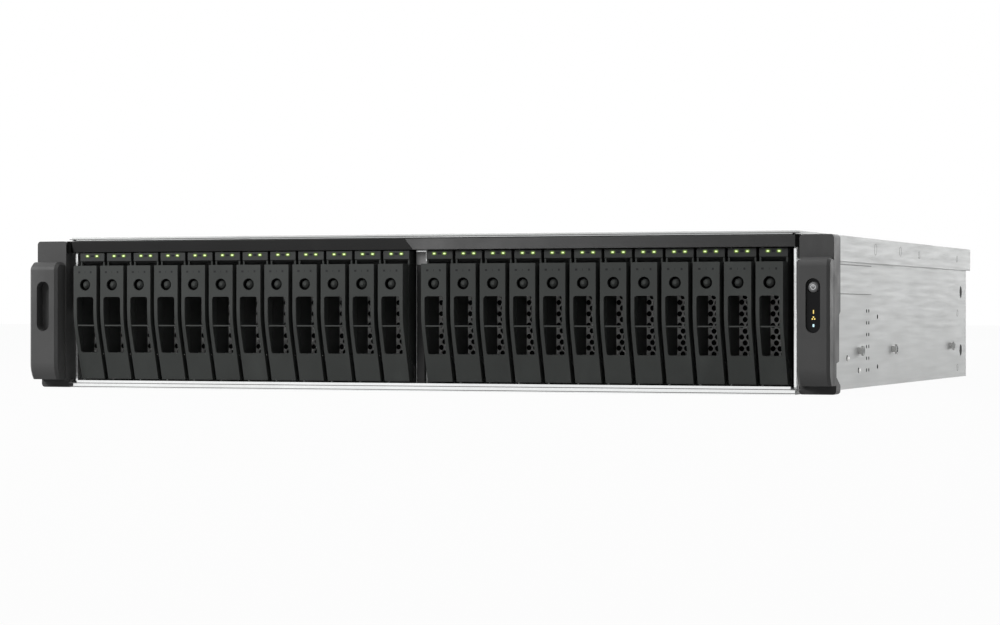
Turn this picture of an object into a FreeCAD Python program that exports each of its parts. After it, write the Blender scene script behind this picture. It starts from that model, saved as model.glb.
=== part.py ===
import FreeCAD, Part
import math
import os
import re
import Sketcher

# A 2U rack enclosure for 24 small drives, in millimetres.
#
# Local frame of every piece: X across, 0 at the middle; Y from the front plane of the rack ears
# towards the rear; Z up from the underside of the chassis. The Placement of each sub-part moves
# it to the frame of the whole enclosure, whose origin is under the middle of its outer box.

doc = FreeCAD.newDocument("disk_shelf_enclosure")
sheet = doc.addObject("Spreadsheet::Sheet", "Sizes")

SIZES = [
    # Envelope
    ("rack_width", 482.0, "over both rack ears"),
    ("ear_gap", 2.0, "rack ear to the side of the top cover"),
    ("roof_space", 8.7, "roof of the drive cage to the top of the cover"),
    ("body_depth", 490.0, "ear front plane to the rear wall"),
    ("cover_overhang", 10.0, "rear edge of the cover behind the rear wall"),
    # Chassis pan
    ("pan_sheet", 1.2, "sheet of the pan"),
    ("pan_lip_front", 3.0, "front face of the folded lip below the bays"),
    ("pan_lip_height", 4.4, "top of that lip"),
    ("pan_lip_inset", 2.4, "end of that lip to the side wall's outside"),
    ("wall_front_gap", 0.2, "front edge of the side walls behind the cage's front"),
    ("wall_top_gap", 0.3, "side wall to the underside of the cover"),
    ("rear_hole_inset", 19.0, "round rear holes ahead of the rear wall"),
    ("rear_hole_low", 18.4, "height of the lower round hole"),
    ("rear_hole_high", 58.5, "height of the upper round hole"),
    ("rear_hole_radius", 4.0, "round rear holes"),
    # Rail studs
    ("stud_front", 156.0, "depth of the front rail stud"),
    ("stud_middle", 249.0, "depth of the middle rail stud"),
    ("stud_rear", 433.0, "depth of the rear rail stud"),
    ("stud_height", 21.8, "height of the rail studs"),
    ("stud_neck_radius", 1.9, "neck of a rail stud"),
    ("stud_neck_length", 2.0, "neck of a rail stud"),
    ("stud_head_radius", 3.0, "head of a rail stud"),
    ("stud_head_length", 1.2, "head of a rail stud"),
    # Top cover
    ("cover_sheet", 1.0, "sheet of the cover"),
    ("cover_front", 3.5, "front edge of the cover"),
    ("cover_flange", 15.0, "height of the cover's side flanges"),
    ("cover_relief_rear", 12.0, "rear edge of the notch in each side flange, beside the ear"),
    ("cover_hem", 2.0, "height of the hem at the cover's front"),
    ("cover_rear_lip", 3.4, "height of the lip at the cover's rear"),
    ("cover_side_gap", 0.2, "cover flange to the side wall"),
    # Bays and drive cage
    ("bay_side_margin", 1.1, "outermost tray's space to the side of the cage"),
    ("bays_per_group", 12, "trays on each side of the divider"),
    ("cage_sheet", 1.0, "sheet of the drive cage"),
    ("cage_floor", 2.4, "underside of the cage floor"),
    ("cage_front", 6.2, "front edge of the cage roof"),
    ("cage_floor_front", 14.0, "front edge of the cage floor"),
    ("cage_tail", 5.6, "rear edge of the cage behind the midplane board"),
    ("guide_width", 1.0, "guide rib between two trays"),
    ("guide_height", 1.8, "height of a guide rib"),
    ("channel_half_width", 3.3, "half width of the centre channel"),
    ("channel_gap", 1.0, "centre channel to the space of the trays beside it"),
    ("channel_front", 10.2, "front face of the centre channel"),
    ("cage_hem_height", 6.0, "flange above the front edge of the cage roof"),
    # Centre divider and bezel bar
    ("post_half_width", 2.7, "half width of the centre post"),
    ("post_depth", 1.4, "thickness of the centre post, in front of the channel"),
    ("post_drop", 0.4, "top of the centre post below the caps' undersides"),
    ("post_nose", 0.6, "rounding of the post's front edges"),
    ("foot_half_width", 5.2, "half width of the post's foot"),
    ("foot_height", 1.1, "thickness of the post's foot"),
    ("bar_front_near", 1.2, "nearer edge of each facet of the bezel bar"),
    ("bar_front_far", 3.0, "further edge of each facet of the bezel bar"),
    ("bar_crease_top", -8.0, "crease between the facets, at the top"),
    ("bar_crease_bottom", -2.0, "crease between the facets, at the bottom"),
    ("bar_end_gap", 0.5, "end of the bezel bar to the rack ear"),
    ("bar_gap", 0.3, "bezel bar above the caps of the trays"),
    # Rack ears and handles
    ("ear_width", 19.0, "width of a rack ear"),
    ("ear_drop", 2.2, "top of a rack ear below the top of the cover"),
    ("ear_lift", 0.2, "underside of a rack ear above the pan's"),
    ("ear_depth", 14.8, "full depth of a rack ear"),
    ("ear_waist_depth", 11.8, "depth of an ear beside its middle"),
    ("ear_notch_depth", 5.7, "depth of an ear at its notch"),
    ("ear_waist_top", 45.0, "top of the waist"),
    ("ear_waist_bottom", 18.0, "bottom of the waist"),
    ("ear_notch_bottom", 9.6, "bottom of the notch"),
    ("ear_step", 1.0, "height over which the rear edge steps"),
    ("ear_wall", 2.2, "wall of an ear"),
    ("ear_corner", 2.0, "corner radius of an ear"),
    ("ear_foot_top", 5.0, "top of an ear's foot"),
    ("ear_foot_front", 5.0, "front of an ear's foot"),
    ("ear_foot_gap", 0.4, "ear's foot to the side of the top cover"),
    ("handle_width", 18.1, "width of a handle"),
    ("handle_edge", 0.1, "handle's outer side inside the ear's outer side"),
    ("handle_reach", 10.3, "handle's front ahead of the ear's front plane"),
    ("handle_top", 74.1, "top of a handle"),
    ("handle_flat_top", 69.0, "top of the handle's flat front"),
    ("handle_flat_bottom", 14.5, "bottom of the handle's flat front"),
    ("handle_chin", 3.2, "how far the front curls back at the bottom"),
    ("handle_round", 1.6, "rounding of the handle's side edges"),
    ("slot_width", 8.0, "width of the slot in a handle"),
    ("slot_height", 29.2, "height of the slot in a handle"),
    ("slot_middle", 48.0, "height of the slot's middle"),
    ("slot_depth", 7.0, "depth of the slot"),
    # Status window and power button
    ("window_gap", 0.15, "status window to the slot's wall"),
    ("window_recess", 1.6, "status window behind the handle's front"),
    ("button_inset", 1.6, "power button to the top of the slot"),
    ("button_radius", 3.1, "power button"),
    ("button_gap", 0.1, "power button to its bore"),
    ("button_proud", 0.9, "crown of the button ahead of the window"),
    ("button_length", 4.0, "length of the power button"),
    ("button_crown", 0.6, "rounding of the button's edge"),
    # Ear brackets
    ("bracket_sheet", 1.5, "sheet of the bracket behind an ear"),
    ("bracket_gap", 0.15, "bracket to the notch in the ear's inner wall"),
    ("bracket_arm_sheet", 0.6, "proud height of the bracket's arm on the side wall"),
    ("bracket_bottom", 45.8, "underside of the bracket's flange"),
    ("bracket_cover_gap", 1.6, "top of the bracket's flange to the cover's side flange"),
    ("arm_bottom", 55.3, "underside of the bracket's arm"),
    ("arm_drop", 0.3, "top of the bracket's arm below its flange"),
    ("bracket_boss_half", 3.0, "half width of the boss between an ear and its bracket"),
    # Drive carriers
    ("cap_gap", 1.7, "between the caps of neighbouring trays"),
    ("cap_front", 3.9, "front face of the cap"),
    ("rail_height", 2.65, "top rail, from the drive to the top of the cap"),
    ("cap_clearance", 0.5, "top of the cap to the cage roof"),
    ("cap_face", 4.8, "height of the cap's front face"),
    ("cap_height", 7.5, "height of the cap behind its slope"),
    ("cap_slope", 4.1, "depth of the sloping underside"),
    ("tunnel_gap", 1.1, "side of the tunnel to the edge of the tray's space"),
    ("tunnel_wall", 0.9, "wall of the tray's tunnel"),
    ("tunnel_front", 3.8, "front edge of the tunnel walls"),
    ("tunnel_rear", 18.0, "rear face of the tray's front frame"),
    ("plate_front", 16.4, "front face of the tray's air plate"),
    ("rail_bottom", 4.6, "underside of the bottom rail"),
    ("rail_end", 166.0, "rear end of the rails"),
    ("tail_length", 3.0, "cross piece at the rear of the rails"),
    ("drive_width", 15.0, "thickness of a small form factor drive"),
    ("drive_height", 69.85, "width of a small form factor drive, on edge"),
    ("drive_length", 100.2, "length of a small form factor drive"),
    ("drive_bottom", 6.9, "lower edge of the drive"),
    ("card_thickness", 1.6, "transition card behind the drive"),
    ("card_bottom", 18.0, "lower edge of the transition card"),
    ("card_height", 46.0, "height of the transition card"),
    ("card_reach", 4.0, "plug end of the transition card behind the rails"),
    # Levers
    ("lever_gap", 2.5, "between neighbouring levers"),
    ("lever_front", -5.1, "front face of a lever"),
    ("lever_top_gap", 0.1, "top of a lever to the cap above it"),
    ("lever_bend_top", 46.4, "where the face starts to curve back"),
    ("lever_bend_radius", 50.0, "radius of that curve"),
    ("lever_lean", 17.0, "lean of the lower stretch, in degrees"),
    ("lever_bottom", 5.3, "foot of a lever"),
    ("lever_back", 3.2, "rear edge of a lever's cheeks"),
    ("lever_cheek", 1.3, "thickness of a lever's cheeks"),
    ("lever_skin", 1.8, "thickness of a lever's face"),
    ("lever_cap", 1.5, "thickness of a lever's top wall"),
    ("pivot_depth", 8.5, "hinge line of a lever, behind the ear plane"),
    ("pivot_height", 9.5, "height of the hinge line"),
    ("pin_radius", 1.0, "hinge pin"),
    ("pin_gap", 0.05, "hinge pin to its bore"),
    ("lug_radius", 2.2, "half height of the carrier's hinge lug"),
    ("lug_gap", 0.25, "hinge lug to the lever's cheeks"),
    ("lobe_reach", 3.0, "lever's cheek behind the hinge line"),
    ("lobe_foot", 2.5, "cheek's rear corner below the hinge line"),
    ("lobe_shoulder", 20.0, "where the cheeks widen towards the hinge"),
    ("vent_side", 0.75, "window of a lever to the inside of its cheek"),
    ("vent_drop", 18.3, "top of the window below the top of the lever"),
    ("vent_bottom", 20.6, "bottom of the window"),
    ("vent_bar", 0.8, "crossbar of the window"),
    ("vent_bar_height", 36.8, "middle of that crossbar"),
    ("release_drop", 11.2, "release button below the top of the lever"),
    ("release_radius", 2.6, "release button"),
    ("release_gap", 0.8, "release button to its bore"),
    ("release_recess", 0.4, "release button behind the lever's face"),
    ("release_plate", 1.0, "thickness of the plate that holds the release button"),
    ("release_plate_half", 4.0, "half width of that plate"),
    # Midplane
    ("midplane_thickness", 2.4, "midplane board"),
    ("midplane_bottom", 4.0, "lower edge of the midplane board"),
    ("midplane_gap", 0.9, "upper edge of the midplane board to the cage roof"),
    ("receptacle_length", 9.4, "length of a drive receptacle"),
    ("plug_gap", 0.6, "transition card to its receptacle"),
    ("receptacle_width", 6.0, "width of a drive receptacle"),
    ("receptacle_bottom", 26.0, "lower end of a drive receptacle"),
    ("receptacle_height", 30.0, "height of a drive receptacle"),
    ("air_slot_width", 7.0, "air slot between two receptacles"),
    ("air_slot_margin", 8.0, "board above and below an air slot"),
    ("module_plug_length", 12.0, "plug of a rear module on the midplane"),
    ("module_plug_width", 60.0, "width of that plug"),
    ("module_plug_height", 12.0, "height of that plug"),
    ("module_plug_bottom", 30.0, "lower edge of that plug"),
    # Rear modules
    ("plenum_depth", 7.0, "drive cage to the rear modules"),
    ("module_bottom", 1.5, "underside of the rear modules"),
    ("module_headroom", 4.1, "top of the rear modules to the top of the cover"),
    ("module_gap", 0.3, "rear module to its opening in the wall"),
    ("module_wall", 1.5, "web of the rear wall between two modules"),
    ("power_width", 106.0, "width of a power and cooling module"),
    ("module_side_margin", 3.0, "outer module to the side wall's inside"),
    ("face_thickness", 1.6, "face plate of a rear module, behind the rear wall"),
    ("fan_radius", 29.0, "fan opening of a power and cooling module"),
    ("fan_hub_radius", 12.0, "hub of the fan"),
    ("fan_recess", 3.6, "depth of the fan opening"),
    ("inlet_width", 27.0, "width of the mains inlet"),
    ("inlet_height", 20.0, "height of the mains inlet"),
    ("inlet_recess", 12.0, "depth of the mains inlet"),
    ("pull_reach", 8.0, "pull handle behind the face plate"),
    ("pull_bar", 3.0, "thickness of a pull handle"),
    ("pull_span", 44.0, "length of a pull handle"),
    ("pull_recess", 12.0, "depth of the finger recess inside a pull handle"),
    ("pull_recess_height", 16.0, "height of that recess"),
    ("port_width", 14.5, "width of a disk link port"),
    ("port_height", 11.0, "height of a disk link port"),
    ("port_recess", 9.0, "depth of a port"),
    ("port_pitch", 19.0, "between neighbouring ports"),
    ("port_count", 4, "disk link ports"),
]


# Places that follow from the sizes: outwards from the drive, inwards from the rack's width

DRIVE_TOP = "(drive_bottom + drive_height)"
CAP_TOP = f"({DRIVE_TOP} + rail_height)"
CAP_BOTTOM = f"({CAP_TOP} - cap_face)"
CAP_UNDERSIDE = f"({CAP_TOP} - cap_height)"
LEVER_TOP = f"({CAP_UNDERSIDE} - lever_top_gap)"
VENT_TOP = f"({LEVER_TOP} - vent_drop)"
RELEASE_UP = f"({LEVER_TOP} - release_drop)"
POST_TOP = f"({CAP_UNDERSIDE} - post_drop)"
CAGE_ROOF = f"({CAP_TOP} + cap_clearance)"
MIDPLANE_TOP = f"({CAGE_ROOF} - midplane_gap)"
BODY_TOP = f"({CAGE_ROOF} + roof_space)"
WALL_TOP = f"({BODY_TOP} - cover_sheet - wall_top_gap)"
EAR_TOP = f"({BODY_TOP} - ear_drop)"
BRACKET_TOP = f"({BODY_TOP} - cover_flange - bracket_cover_gap)"
ARM_TOP = f"({BRACKET_TOP} - arm_drop)"
MODULE_TOP = f"({BODY_TOP} - module_headroom)"

EAR_OUT = "(rack_width / 2)"
EAR_IN = f"({EAR_OUT} - ear_width)"
BODY_HALF = f"({EAR_IN} - ear_gap)"
FOOT_IN = f"({BODY_HALF} + ear_foot_gap)"
WALL_OUT = f"({BODY_HALF} - cover_sheet - cover_side_gap)"
WALL_IN = f"({WALL_OUT} - pan_sheet)"
BAY_START = "(channel_half_width + channel_gap)"
BAY_SPAN = f"({WALL_IN} - cage_sheet - bay_side_margin - {BAY_START})"
BAY_PITCH = f"({BAY_SPAN} / bays_per_group)"
GROUP_CENTRE = f"({BAY_START} + {BAY_SPAN} / 2)"
CAP_WIDTH = f"({BAY_PITCH} - cap_gap)"
LEVER_WIDTH = f"({BAY_PITCH} - lever_gap)"
VENT_HALF = f"({LEVER_WIDTH} / 2 - lever_cheek - vent_side)"
TUNNEL_HALF = f"({BAY_PITCH} / 2 - tunnel_gap)"
MODULE_OUT = f"({WALL_IN} - module_side_margin)"
MODULE_IN = f"({MODULE_OUT} - power_width)"
IO_HALF = f"({MODULE_IN} - 2 * module_gap - module_wall)"

WALL_FRONT = "(cage_front + wall_front_gap)"
POST_FRONT = "(channel_front - post_depth)"
CARD_END = "(rail_end + card_reach)"
RECEPTACLE_FRONT = f"({CARD_END} + plug_gap)"
MIDPLANE_FRONT = f"({RECEPTACLE_FRONT} + receptacle_length)"
CAGE_REAR = f"({MIDPLANE_FRONT} + midplane_thickness + cage_tail)"
MODULE_FRONT = f"({CAGE_REAR} + plenum_depth)"
COVER_REAR = "(body_depth + cover_overhang)"

for row, (alias, value, meaning) in enumerate(SIZES, start=1):
    sheet.set(f"A{row}", meaning)
    sheet.set(f"B{row}", str(value))
    sheet.setAlias(f"B{row}", alias)
doc.recompute()

ALIASES = {alias for alias, value, meaning in SIZES}
ORIGIN = "0"
LEAST_CUT = 0.01
ROUND_SIDES = 10


def cell(formula):
    """Turn the plain size names of a formula into references to the sheet."""
    return re.sub(r"[a-z_]+", lambda word: sheet_name(word.group()), str(formula))


def sheet_name(word):
    """A size's full name in the sheet, or the word itself where it is a function."""
    return f"Sizes.{word}" if word in ALIASES else word


def number(formula):
    """The present value of a formula."""
    return float(sheet.evalExpression(cell(formula)))


def bind(thing, prop, formula):
    """Tie a property to a formula."""
    thing.setExpression(prop, cell(formula))


def place(thing, across=ORIGIN, back=ORIGIN, up=ORIGIN):
    """Tie the position of a piece to formulas."""
    bind(thing, "Placement.Base.x", across)
    bind(thing, "Placement.Base.y", back)
    bind(thing, "Placement.Base.z", up)


# ---------------------------------------------------------------- sketches and features


def new_body(label):
    """An empty PartDesign body."""
    body = doc.addObject("PartDesign::Body", label)
    body.Label = label
    return body


def new_sketch(body, name, role, offset=ORIGIN):
    """A sketch on one of the body's origin planes, moved along that plane's normal."""
    plane = next(f for f in body.Origin.OriginFeatures if f.Role == role)
    drawn = body.newObject("Sketcher::SketchObject", name)
    drawn.AttachmentSupport = [(plane, "")]
    drawn.MapMode = "FlatFace"
    bind(drawn, "AttachmentOffset.Base.z", offset)
    return drawn


def hold(drawn, wanted):
    """Add named constraints to a sketch in one go, each tied to its formula."""
    made = drawn.addConstraint([
        Sketcher.Constraint(kind, *where, abs(number(formula)) if kind == "Radius" else number(formula))
        for kind, where, formula in wanted])
    for index, (kind, where, formula) in zip(made, wanted):
        label = "_".join([kind] + [str(part) for part in where])
        drawn.renameConstraint(index, label)
        bind(drawn, f"Constraints.{label}", f"abs({formula})" if kind == "Radius" else formula)


def arc_between(start, end, radius):
    """An arc from start to end; a negative radius bulges to the right of the way it runs."""
    chord = end - start
    middle = (start + end) * 0.5
    rise = math.sqrt(max(radius * radius - chord.Length ** 2 / 4, 0))
    side = FreeCAD.Vector(-chord.y, chord.x, 0).normalize()
    turning = math.copysign(1, radius)
    centre = middle + side * rise * turning
    circle = Part.Circle(centre, FreeCAD.Vector(0, 0, 1), abs(radius))
    first, last = (start, end) if turning > 0 else (end, start)
    begin = math.atan2(first.y - centre.y, first.x - centre.x)
    finish = math.atan2(last.y - centre.y, last.x - centre.x)
    return Part.ArcOfCircle(circle, begin, finish)


def outline(drawn, corners, arcs=None):
    """A closed outline. arcs gives the radius of the side that starts at a corner's number."""
    arcs = arcs or {}
    points = [FreeCAD.Vector(number(a), number(b), 0) for a, b in corners]
    count = len(points)
    first = drawn.GeometryCount
    sides, heads, tails = [], [], []
    for index, point in enumerate(points):
        following = points[(index + 1) % count]
        runs_on = index not in arcs or number(arcs[index]) > 0
        if index in arcs:
            sides.append(arc_between(point, following, number(arcs[index])))
        else:
            sides.append(Part.LineSegment(point, following))
        heads.append(1 if runs_on else 2)
        tails.append(2 if runs_on else 1)
    drawn.addGeometry(sides, False)
    drawn.addConstraint([
        Sketcher.Constraint("Coincident", first + index, tails[index],
                            first + (index + 1) % count, heads[(index + 1) % count])
        for index in range(count)])
    wanted = []
    for index, (a, b) in enumerate(corners):
        wanted.append(("DistanceX", (first + index, heads[index]), a))
        wanted.append(("DistanceY", (first + index, heads[index]), b))
    for index, radius in arcs.items():
        wanted.append(("Radius", (first + index,), radius))
    hold(drawn, wanted)


def rectangle(drawn, left, right, low, high):
    """A rectangle between four formulas."""
    outline(drawn, [(left, low), (right, low), (right, high), (left, high)])


def circle(drawn, across, up, radius):
    """A circle at a point."""
    middle = FreeCAD.Vector(number(across), number(up), 0)
    item = drawn.addGeometry(Part.Circle(middle, FreeCAD.Vector(0, 0, 1), number(radius)), False)
    hold(drawn, [("DistanceX", (item, 3), across), ("DistanceY", (item, 3), up),
                 ("Radius", (item,), radius)])


def polygon(drawn, across, up, radius, sides):
    """A regular polygon about a point, for small round pieces that repeat many times."""
    turn = 360 / sides
    outline(drawn, [
        (f"{across} + {radius} * cos({turn * (index + 0.5)})",
         f"{up} + {radius} * sin({turn * (index + 0.5)})") for index in range(sides)])


def stadium(drawn, middle, radius, low, high):
    """An upright slot shape: two half circles about low and high, joined by straight sides."""
    across, size = number(middle), number(radius)
    foot = FreeCAD.Vector(across, number(low), 0)
    head = FreeCAD.Vector(across, number(high), 0)
    side = FreeCAD.Vector(size, 0, 0)
    normal = FreeCAD.Vector(0, 0, 1)
    drawn.addGeometry([
        Part.ArcOfCircle(Part.Circle(foot, normal, size), math.pi, 2 * math.pi),
        Part.LineSegment(foot + side, head + side),
        Part.ArcOfCircle(Part.Circle(head, normal, size), 0, math.pi),
        Part.LineSegment(head - side, foot - side)], False)
    drawn.addConstraint([
        Sketcher.Constraint("Tangent", index, 2, (index + 1) % 4, 1) for index in range(4)])
    hold(drawn, [("DistanceX", (0, 3), middle), ("DistanceY", (0, 3), low), ("Radius", (0,), radius),
                 ("DistanceX", (2, 3), middle), ("DistanceY", (2, 3), high), ("Radius", (2,), radius)])


def half_round(drawn, across, up, radius):
    """A half circle about a point, round towards positive and flat on its other side."""
    middle, size = FreeCAD.Vector(number(across), number(up), 0), number(radius)
    rise = FreeCAD.Vector(0, size, 0)
    curve = Part.Circle(middle, FreeCAD.Vector(0, 0, 1), size)
    drawn.addGeometry([Part.ArcOfCircle(curve, -math.pi / 2, math.pi / 2),
                       Part.LineSegment(middle + rise, middle - rise)], False)
    drawn.addConstraint([
        Sketcher.Constraint("Coincident", 0, 2, 1, 1), Sketcher.Constraint("Coincident", 1, 2, 0, 1),
        Sketcher.Constraint("Vertical", 1)])
    hold(drawn, [("DistanceX", (0, 3), across), ("DistanceY", (0, 3), up), ("Radius", (0,), radius),
                 ("DistanceX", (1, 1), across)])


def pad(body, drawn, length, midplane=False, backwards=False):
    """Raise a sketch into material."""
    raised = body.newObject("PartDesign::Pad", f"{drawn.Name}_pad")
    raised.Profile = drawn
    raised.Midplane = midplane
    raised.Reversed = backwards
    bind(raised, "Length", length)
    drawn.Visibility = False
    return raised


def pocket(body, drawn, length, midplane=False, backwards=False):
    """Cut a sketch out of the body, and make sure that it did cut."""
    doc.recompute()
    before = body.Shape.Volume
    cut = body.newObject("PartDesign::Pocket", f"{drawn.Name}_pocket")
    cut.Profile = drawn
    cut.Midplane = midplane
    cut.Reversed = backwards
    bind(cut, "Length", length)
    doc.recompute()
    if before - body.Shape.Volume < LEAST_CUT:
        raise RuntimeError(f"{cut.Name} removes nothing")
    return cut


def row(body, feature, drawn, count, pitch):
    """Repeat a feature along the sketch's horizontal axis."""
    repeated = body.newObject("PartDesign::LinearPattern", f"{feature.Name}_row")
    repeated.Originals = [feature]
    repeated.Direction = (drawn, ["H_Axis"])
    bind(repeated, "Occurrences", count)
    bind(repeated, "Length", f"({count} - 1) * ({pitch})")
    body.Tip = repeated
    return repeated


def soften(body, kind, size, chosen):
    """Fillet or chamfer the edges of the body that chosen() accepts."""
    doc.recompute()
    base = body.Tip
    names = [f"Edge{index}" for index, edge in enumerate(base.Shape.Edges, start=1) if chosen(edge)]
    softened = body.newObject(f"PartDesign::{kind}", f"{base.Name}_{kind.lower()}")
    softened.Base = (base, names)
    bind(softened, "Radius" if kind == "Fillet" else "Size", size)
    return softened


def along(edge, direction):
    """Whether an edge is straight and runs along a unit vector."""
    if edge.Curve.TypeId != "Part::GeomLine":
        return False
    return abs(abs(edge.tangentAt(edge.FirstParameter).dot(direction)) - 1) < 1e-6


def box(name, left, right, front, rear, low, high):
    """A plain block between six formulas."""
    block = doc.addObject("Part::Box", name)
    bind(block, "Length", f"({right}) - ({left})")
    bind(block, "Width", f"({rear}) - ({front})")
    bind(block, "Height", f"({high}) - ({low})")
    place(block, left, front, low)
    return block


def joined(name, pieces):
    """Several touching or separate solids as one sub-part."""
    group = doc.addObject("Part::Compound", name)
    group.Label = name
    group.Links = pieces
    return group


def mirrored(name, piece):
    """The left-hand twin of a right-hand piece."""
    twin = doc.addObject("Part::Mirroring", name)
    twin.Source = piece
    twin.Normal = FreeCAD.Vector(1, 0, 0)
    return twin


ACROSS = FreeCAD.Vector(1, 0, 0)
BACK = FreeCAD.Vector(0, 1, 0)
UP = FreeCAD.Vector(0, 0, 1)
FRONT_PLANE = f"(handle_reach - {COVER_REAR}) / 2"
nodes = []


def finish(node, across=ORIGIN, back=FRONT_PLANE, up=ORIGIN):
    """Put a sub-part in its place in the whole enclosure, and keep it for the export."""
    place(node, across, back, up)
    nodes.append(node)


# ---------------------------------------------------------------- chassis pan and rail studs


def pan_floor():
    """Floor of the chassis with the folded lip at its front."""
    body = new_body("pan_floor")
    plate = new_sketch(body, "floor_plate", "XZ_Plane", f"-{WALL_FRONT}")
    rectangle(plate, f"-{WALL_OUT}", WALL_OUT, ORIGIN, "pan_sheet")
    pad(body, plate, f"body_depth - {WALL_FRONT}", backwards=True)
    apron = new_sketch(body, "floor_apron", "YZ_Plane")
    outline(apron, [
        ("pan_lip_front", ORIGIN), (WALL_FRONT, ORIGIN), (WALL_FRONT, "pan_sheet"),
        ("pan_lip_front + pan_sheet", "pan_sheet"), ("pan_lip_front + pan_sheet", "pan_lip_height"),
        ("pan_lip_front", "pan_lip_height")])
    pad(body, apron, f"2 * ({WALL_OUT} - pan_lip_inset)", midplane=True)
    return body


def side_wall():
    """Right-hand side wall, standing on the floor, with two round holes near its rear."""
    body = new_body("side_wall")
    plate = new_sketch(body, "wall_plate", "YZ_Plane", WALL_IN)
    rectangle(plate, WALL_FRONT, "body_depth", "pan_sheet", WALL_TOP)
    pad(body, plate, "pan_sheet")
    holes = new_sketch(body, "wall_holes", "YZ_Plane", WALL_OUT)
    for height in ("rear_hole_low", "rear_hole_high"):
        circle(holes, "body_depth - rear_hole_inset", height, "rear_hole_radius")
    pocket(body, holes, "2 * pan_sheet")
    return body


def rear_wall():
    """Rear wall between the side walls, with an opening for each rear module."""
    body = new_body("rear_wall")
    plate = new_sketch(body, "rear_plate", "XZ_Plane", "-body_depth")
    rectangle(plate, f"-{WALL_IN}", WALL_IN, "pan_sheet", WALL_TOP)
    pad(body, plate, "pan_sheet")
    openings = new_sketch(body, "rear_openings", "XZ_Plane", "-body_depth")
    low, high = "module_bottom - module_gap", f"{MODULE_TOP} + module_gap"
    rectangle(openings, f"-{IO_HALF} - module_gap", f"{IO_HALF} + module_gap", low, high)
    rectangle(openings, f"{MODULE_IN} - module_gap", f"{MODULE_OUT} + module_gap", low, high)
    rectangle(openings, f"-{MODULE_OUT} - module_gap", f"-{MODULE_IN} + module_gap", low, high)
    pocket(body, openings, "2 * pan_sheet", backwards=True)
    return body


def rail_stud():
    """A shouldered stud that a slide rail's keyhole hooks over, drawn on the right-hand wall."""
    body = new_body("rail_stud")
    neck = new_sketch(body, "stud_neck", "YZ_Plane", WALL_OUT)
    polygon(neck, ORIGIN, ORIGIN, "stud_neck_radius", ROUND_SIDES)
    pad(body, neck, "stud_neck_length")
    head = new_sketch(body, "stud_head", "YZ_Plane", f"{WALL_OUT} + stud_neck_length")
    circle(head, ORIGIN, ORIGIN, "stud_head_radius")
    pad(body, head, "stud_head_length")
    return body


wall = side_wall()
pan = [pan_floor(), wall, mirrored("left_wall", wall), rear_wall()]
stud = rail_stud()
studs = []
for depth in ("stud_front", "stud_middle", "stud_rear"):
    right_stud = joined(f"right_{depth}", [stud])
    place(right_stud, ORIGIN, depth, "stud_height")
    studs += [right_stud, mirrored(f"left_{depth}", right_stud)]
finish(joined("chassis_pan", pan + studs))


# ---------------------------------------------------------------- top cover


def top_cover():
    """Flat top with side flanges, a hem at the front and a short lip at the rear."""
    body = new_body("top_cover")
    half = BODY_HALF
    low = f"{BODY_TOP} - cover_flange"
    under = f"{BODY_TOP} - cover_sheet"
    hood = new_sketch(body, "cover_hood", "XZ_Plane", "-cover_front")
    outline(hood, [
        (f"-{half}", BODY_TOP), (f"-{half}", low), (f"-{half} + cover_sheet", low),
        (f"-{half} + cover_sheet", under), (f"{half} - cover_sheet", under),
        (f"{half} - cover_sheet", low), (half, low), (half, BODY_TOP)])
    pad(body, hood, f"{COVER_REAR} - cover_front", backwards=True)

    relief = new_sketch(body, "cover_ear_relief", "YZ_Plane")
    rectangle(relief, "cover_front - cover_sheet", "cover_relief_rear", f"{low} - cover_sheet",
              f"{BODY_TOP} - cover_hem")
    pocket(body, relief, "rack_width", midplane=True)

    top = f"{BODY_TOP} - cover_sheet / 2"
    hem = new_sketch(body, "cover_hem_fold", "YZ_Plane")
    rectangle(hem, "cover_front", "cover_front + cover_sheet", f"{BODY_TOP} - cover_hem", top)
    pad(body, hem, f"2 * ({WALL_IN} - cover_side_gap)", midplane=True)
    lip = new_sketch(body, "cover_rear_fold", "YZ_Plane")
    rectangle(lip, f"{COVER_REAR} - cover_sheet", COVER_REAR, f"{BODY_TOP} - cover_rear_lip", top)
    pad(body, lip, f"2 * {BODY_HALF} - cover_sheet", midplane=True)
    return body


finish(top_cover())


# ---------------------------------------------------------------- drive cage


def bay_centre(group, index):
    """Middle of a tray: group is -1 on the left and 1 on the right."""
    return f"({group} * {GROUP_CENTRE} + ({index} - (bays_per_group - 1) / 2) * {BAY_PITCH})"


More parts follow.
